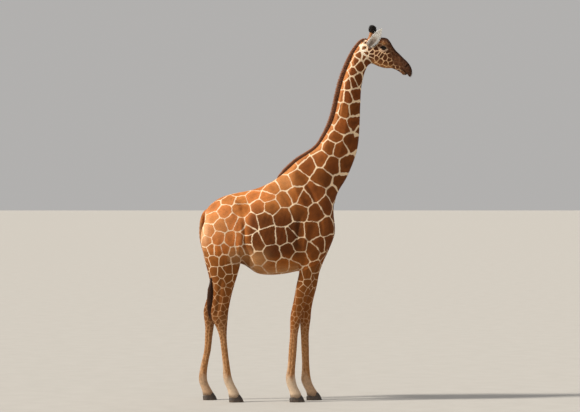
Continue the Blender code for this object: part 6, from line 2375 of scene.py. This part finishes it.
def coronets():
    """Hair that falls over the top of each hoof."""
    rng = np.random.default_rng(70)
    c, y, r = grid_of(FLAT_POINTS)
    legs = (PART >= 2) & (PART <= 5)
    band = legs * bell(r - 1.5 * smooth_step((HIDE_NORMALS[:, 0] + 0.2) / 0.9), 6.2, 1.7)
    chosen, _ = rooted(band, 2800, 71)
    n = len(chosen)
    normal, way = HIDE_NORMALS[chosen], HAIR_WAY[chosen]
    size = rng.uniform(0.014, 0.024, n)
    first = unit(way + normal * rng.uniform(0.15, 0.45, n)[:, None] + rng.normal(0, 0.10, (n, 3)))
    last = unit(np.array([0.1, 0, -1.0]) + rng.normal(0, 0.12, (n, 3)))
    f = np.linspace(0, 1, 4)[None, :, None]
    path = (TURNED_POINTS[chosen] - normal * 0.001)[:, None, :] + size[:, None, None] * (first[:, None, :] * (f - 0.5 * f * f) + last[:, None, :] * 0.5 * f * f) * 1.1
    path[:, :, 2] = np.maximum(path[:, :, 2], 0.004)
    wide = rng.uniform(0.0012, 0.0020, n)[:, None] * np.array([[1.0, 0.9, 0.6, 0.0]])
    colour = HAIR_COLOUR[chosen] * rng.uniform(0.7, 1.15, n)[:, None]
    place = HIDE_SHEET[chosen]
    low, high = place.min(axis=0), place.max(axis=0)
    place = 0.004 + (place - low) / (high - low).max() * 0.992
    piece = locks("coronet_hair", path, np.cross(first, normal), wide, 0.5, colour, place, tuft_material("coronet_locks"))


hooves()
coronets()


# ------------------------------------------------------------ floor, light and camera
def studio():
    scene = bpy.context.scene
    bm = bmesh.new()
    bmesh.ops.create_grid(bm, x_segments=8, y_segments=8, size=1200.0)
    mesh = bpy.data.meshes.new("floor")
    bm.to_mesh(mesh)
    bm.free()
    floor = link("floor", mesh)
    m = Nodes("floor_pale")
    dust = m.noise(m.place((1.0, 1.0, 1.0)), 3.0, 4.0, 0.6)
    m.set(base_color=m.mix(m.span(dust, 0.3, 0.7).outputs["Result"], (0.43, 0.415, 0.39), (0.46, 0.445, 0.42)), roughness=0.85)
    mesh.materials.append(m.material)

    world = bpy.data.worlds.new("studio")
    scene.world = world
    world.use_nodes = True
    back = world.node_tree.nodes["Background"]
    back.inputs["Color"].default_value = (0.985, 0.965, 0.945, 1)
    back.inputs["Strength"].default_value = 0.45

    def lamp(name, toward, energy, angle, colour):
        data = bpy.data.lights.new(name, "SUN")
        data.energy, data.angle, data.color = energy, angle, colour
        obj = bpy.data.objects.new(name, data)
        obj.rotation_euler = Vector(toward).to_track_quat("Z", "Y").to_euler()
        scene.collection.objects.link(obj)

    lamp("key", (-0.76, -0.21, 0.61), 4.75, math.radians(6), (1.0, 0.93, 0.82))
    lamp("fill", (0.34, -0.90, 0.28), 0.33, math.radians(60), (1.0, 0.92, 0.82))
    lamp("rim", (0.5, 0.75, 0.6), 0.30, math.radians(50), (0.95, 0.97, 1.0))

    data = bpy.data.cameras.new("camera")
    camera = bpy.data.objects.new("camera", data)
    scene.collection.objects.link(camera)
    camera.location = SIGHT
    camera.rotation_euler = (math.radians(90), 0, 0)
    data.sensor_width = 36.0
    data.lens = 36.0 * CAMERA_FAR / (SHOT[0] * U)
    data.clip_start, data.clip_end = 0.1, 3000.0
    scene.camera = camera
    scene.view_settings.view_transform = "Standard"
    scene.view_settings.look = "None"


studio()
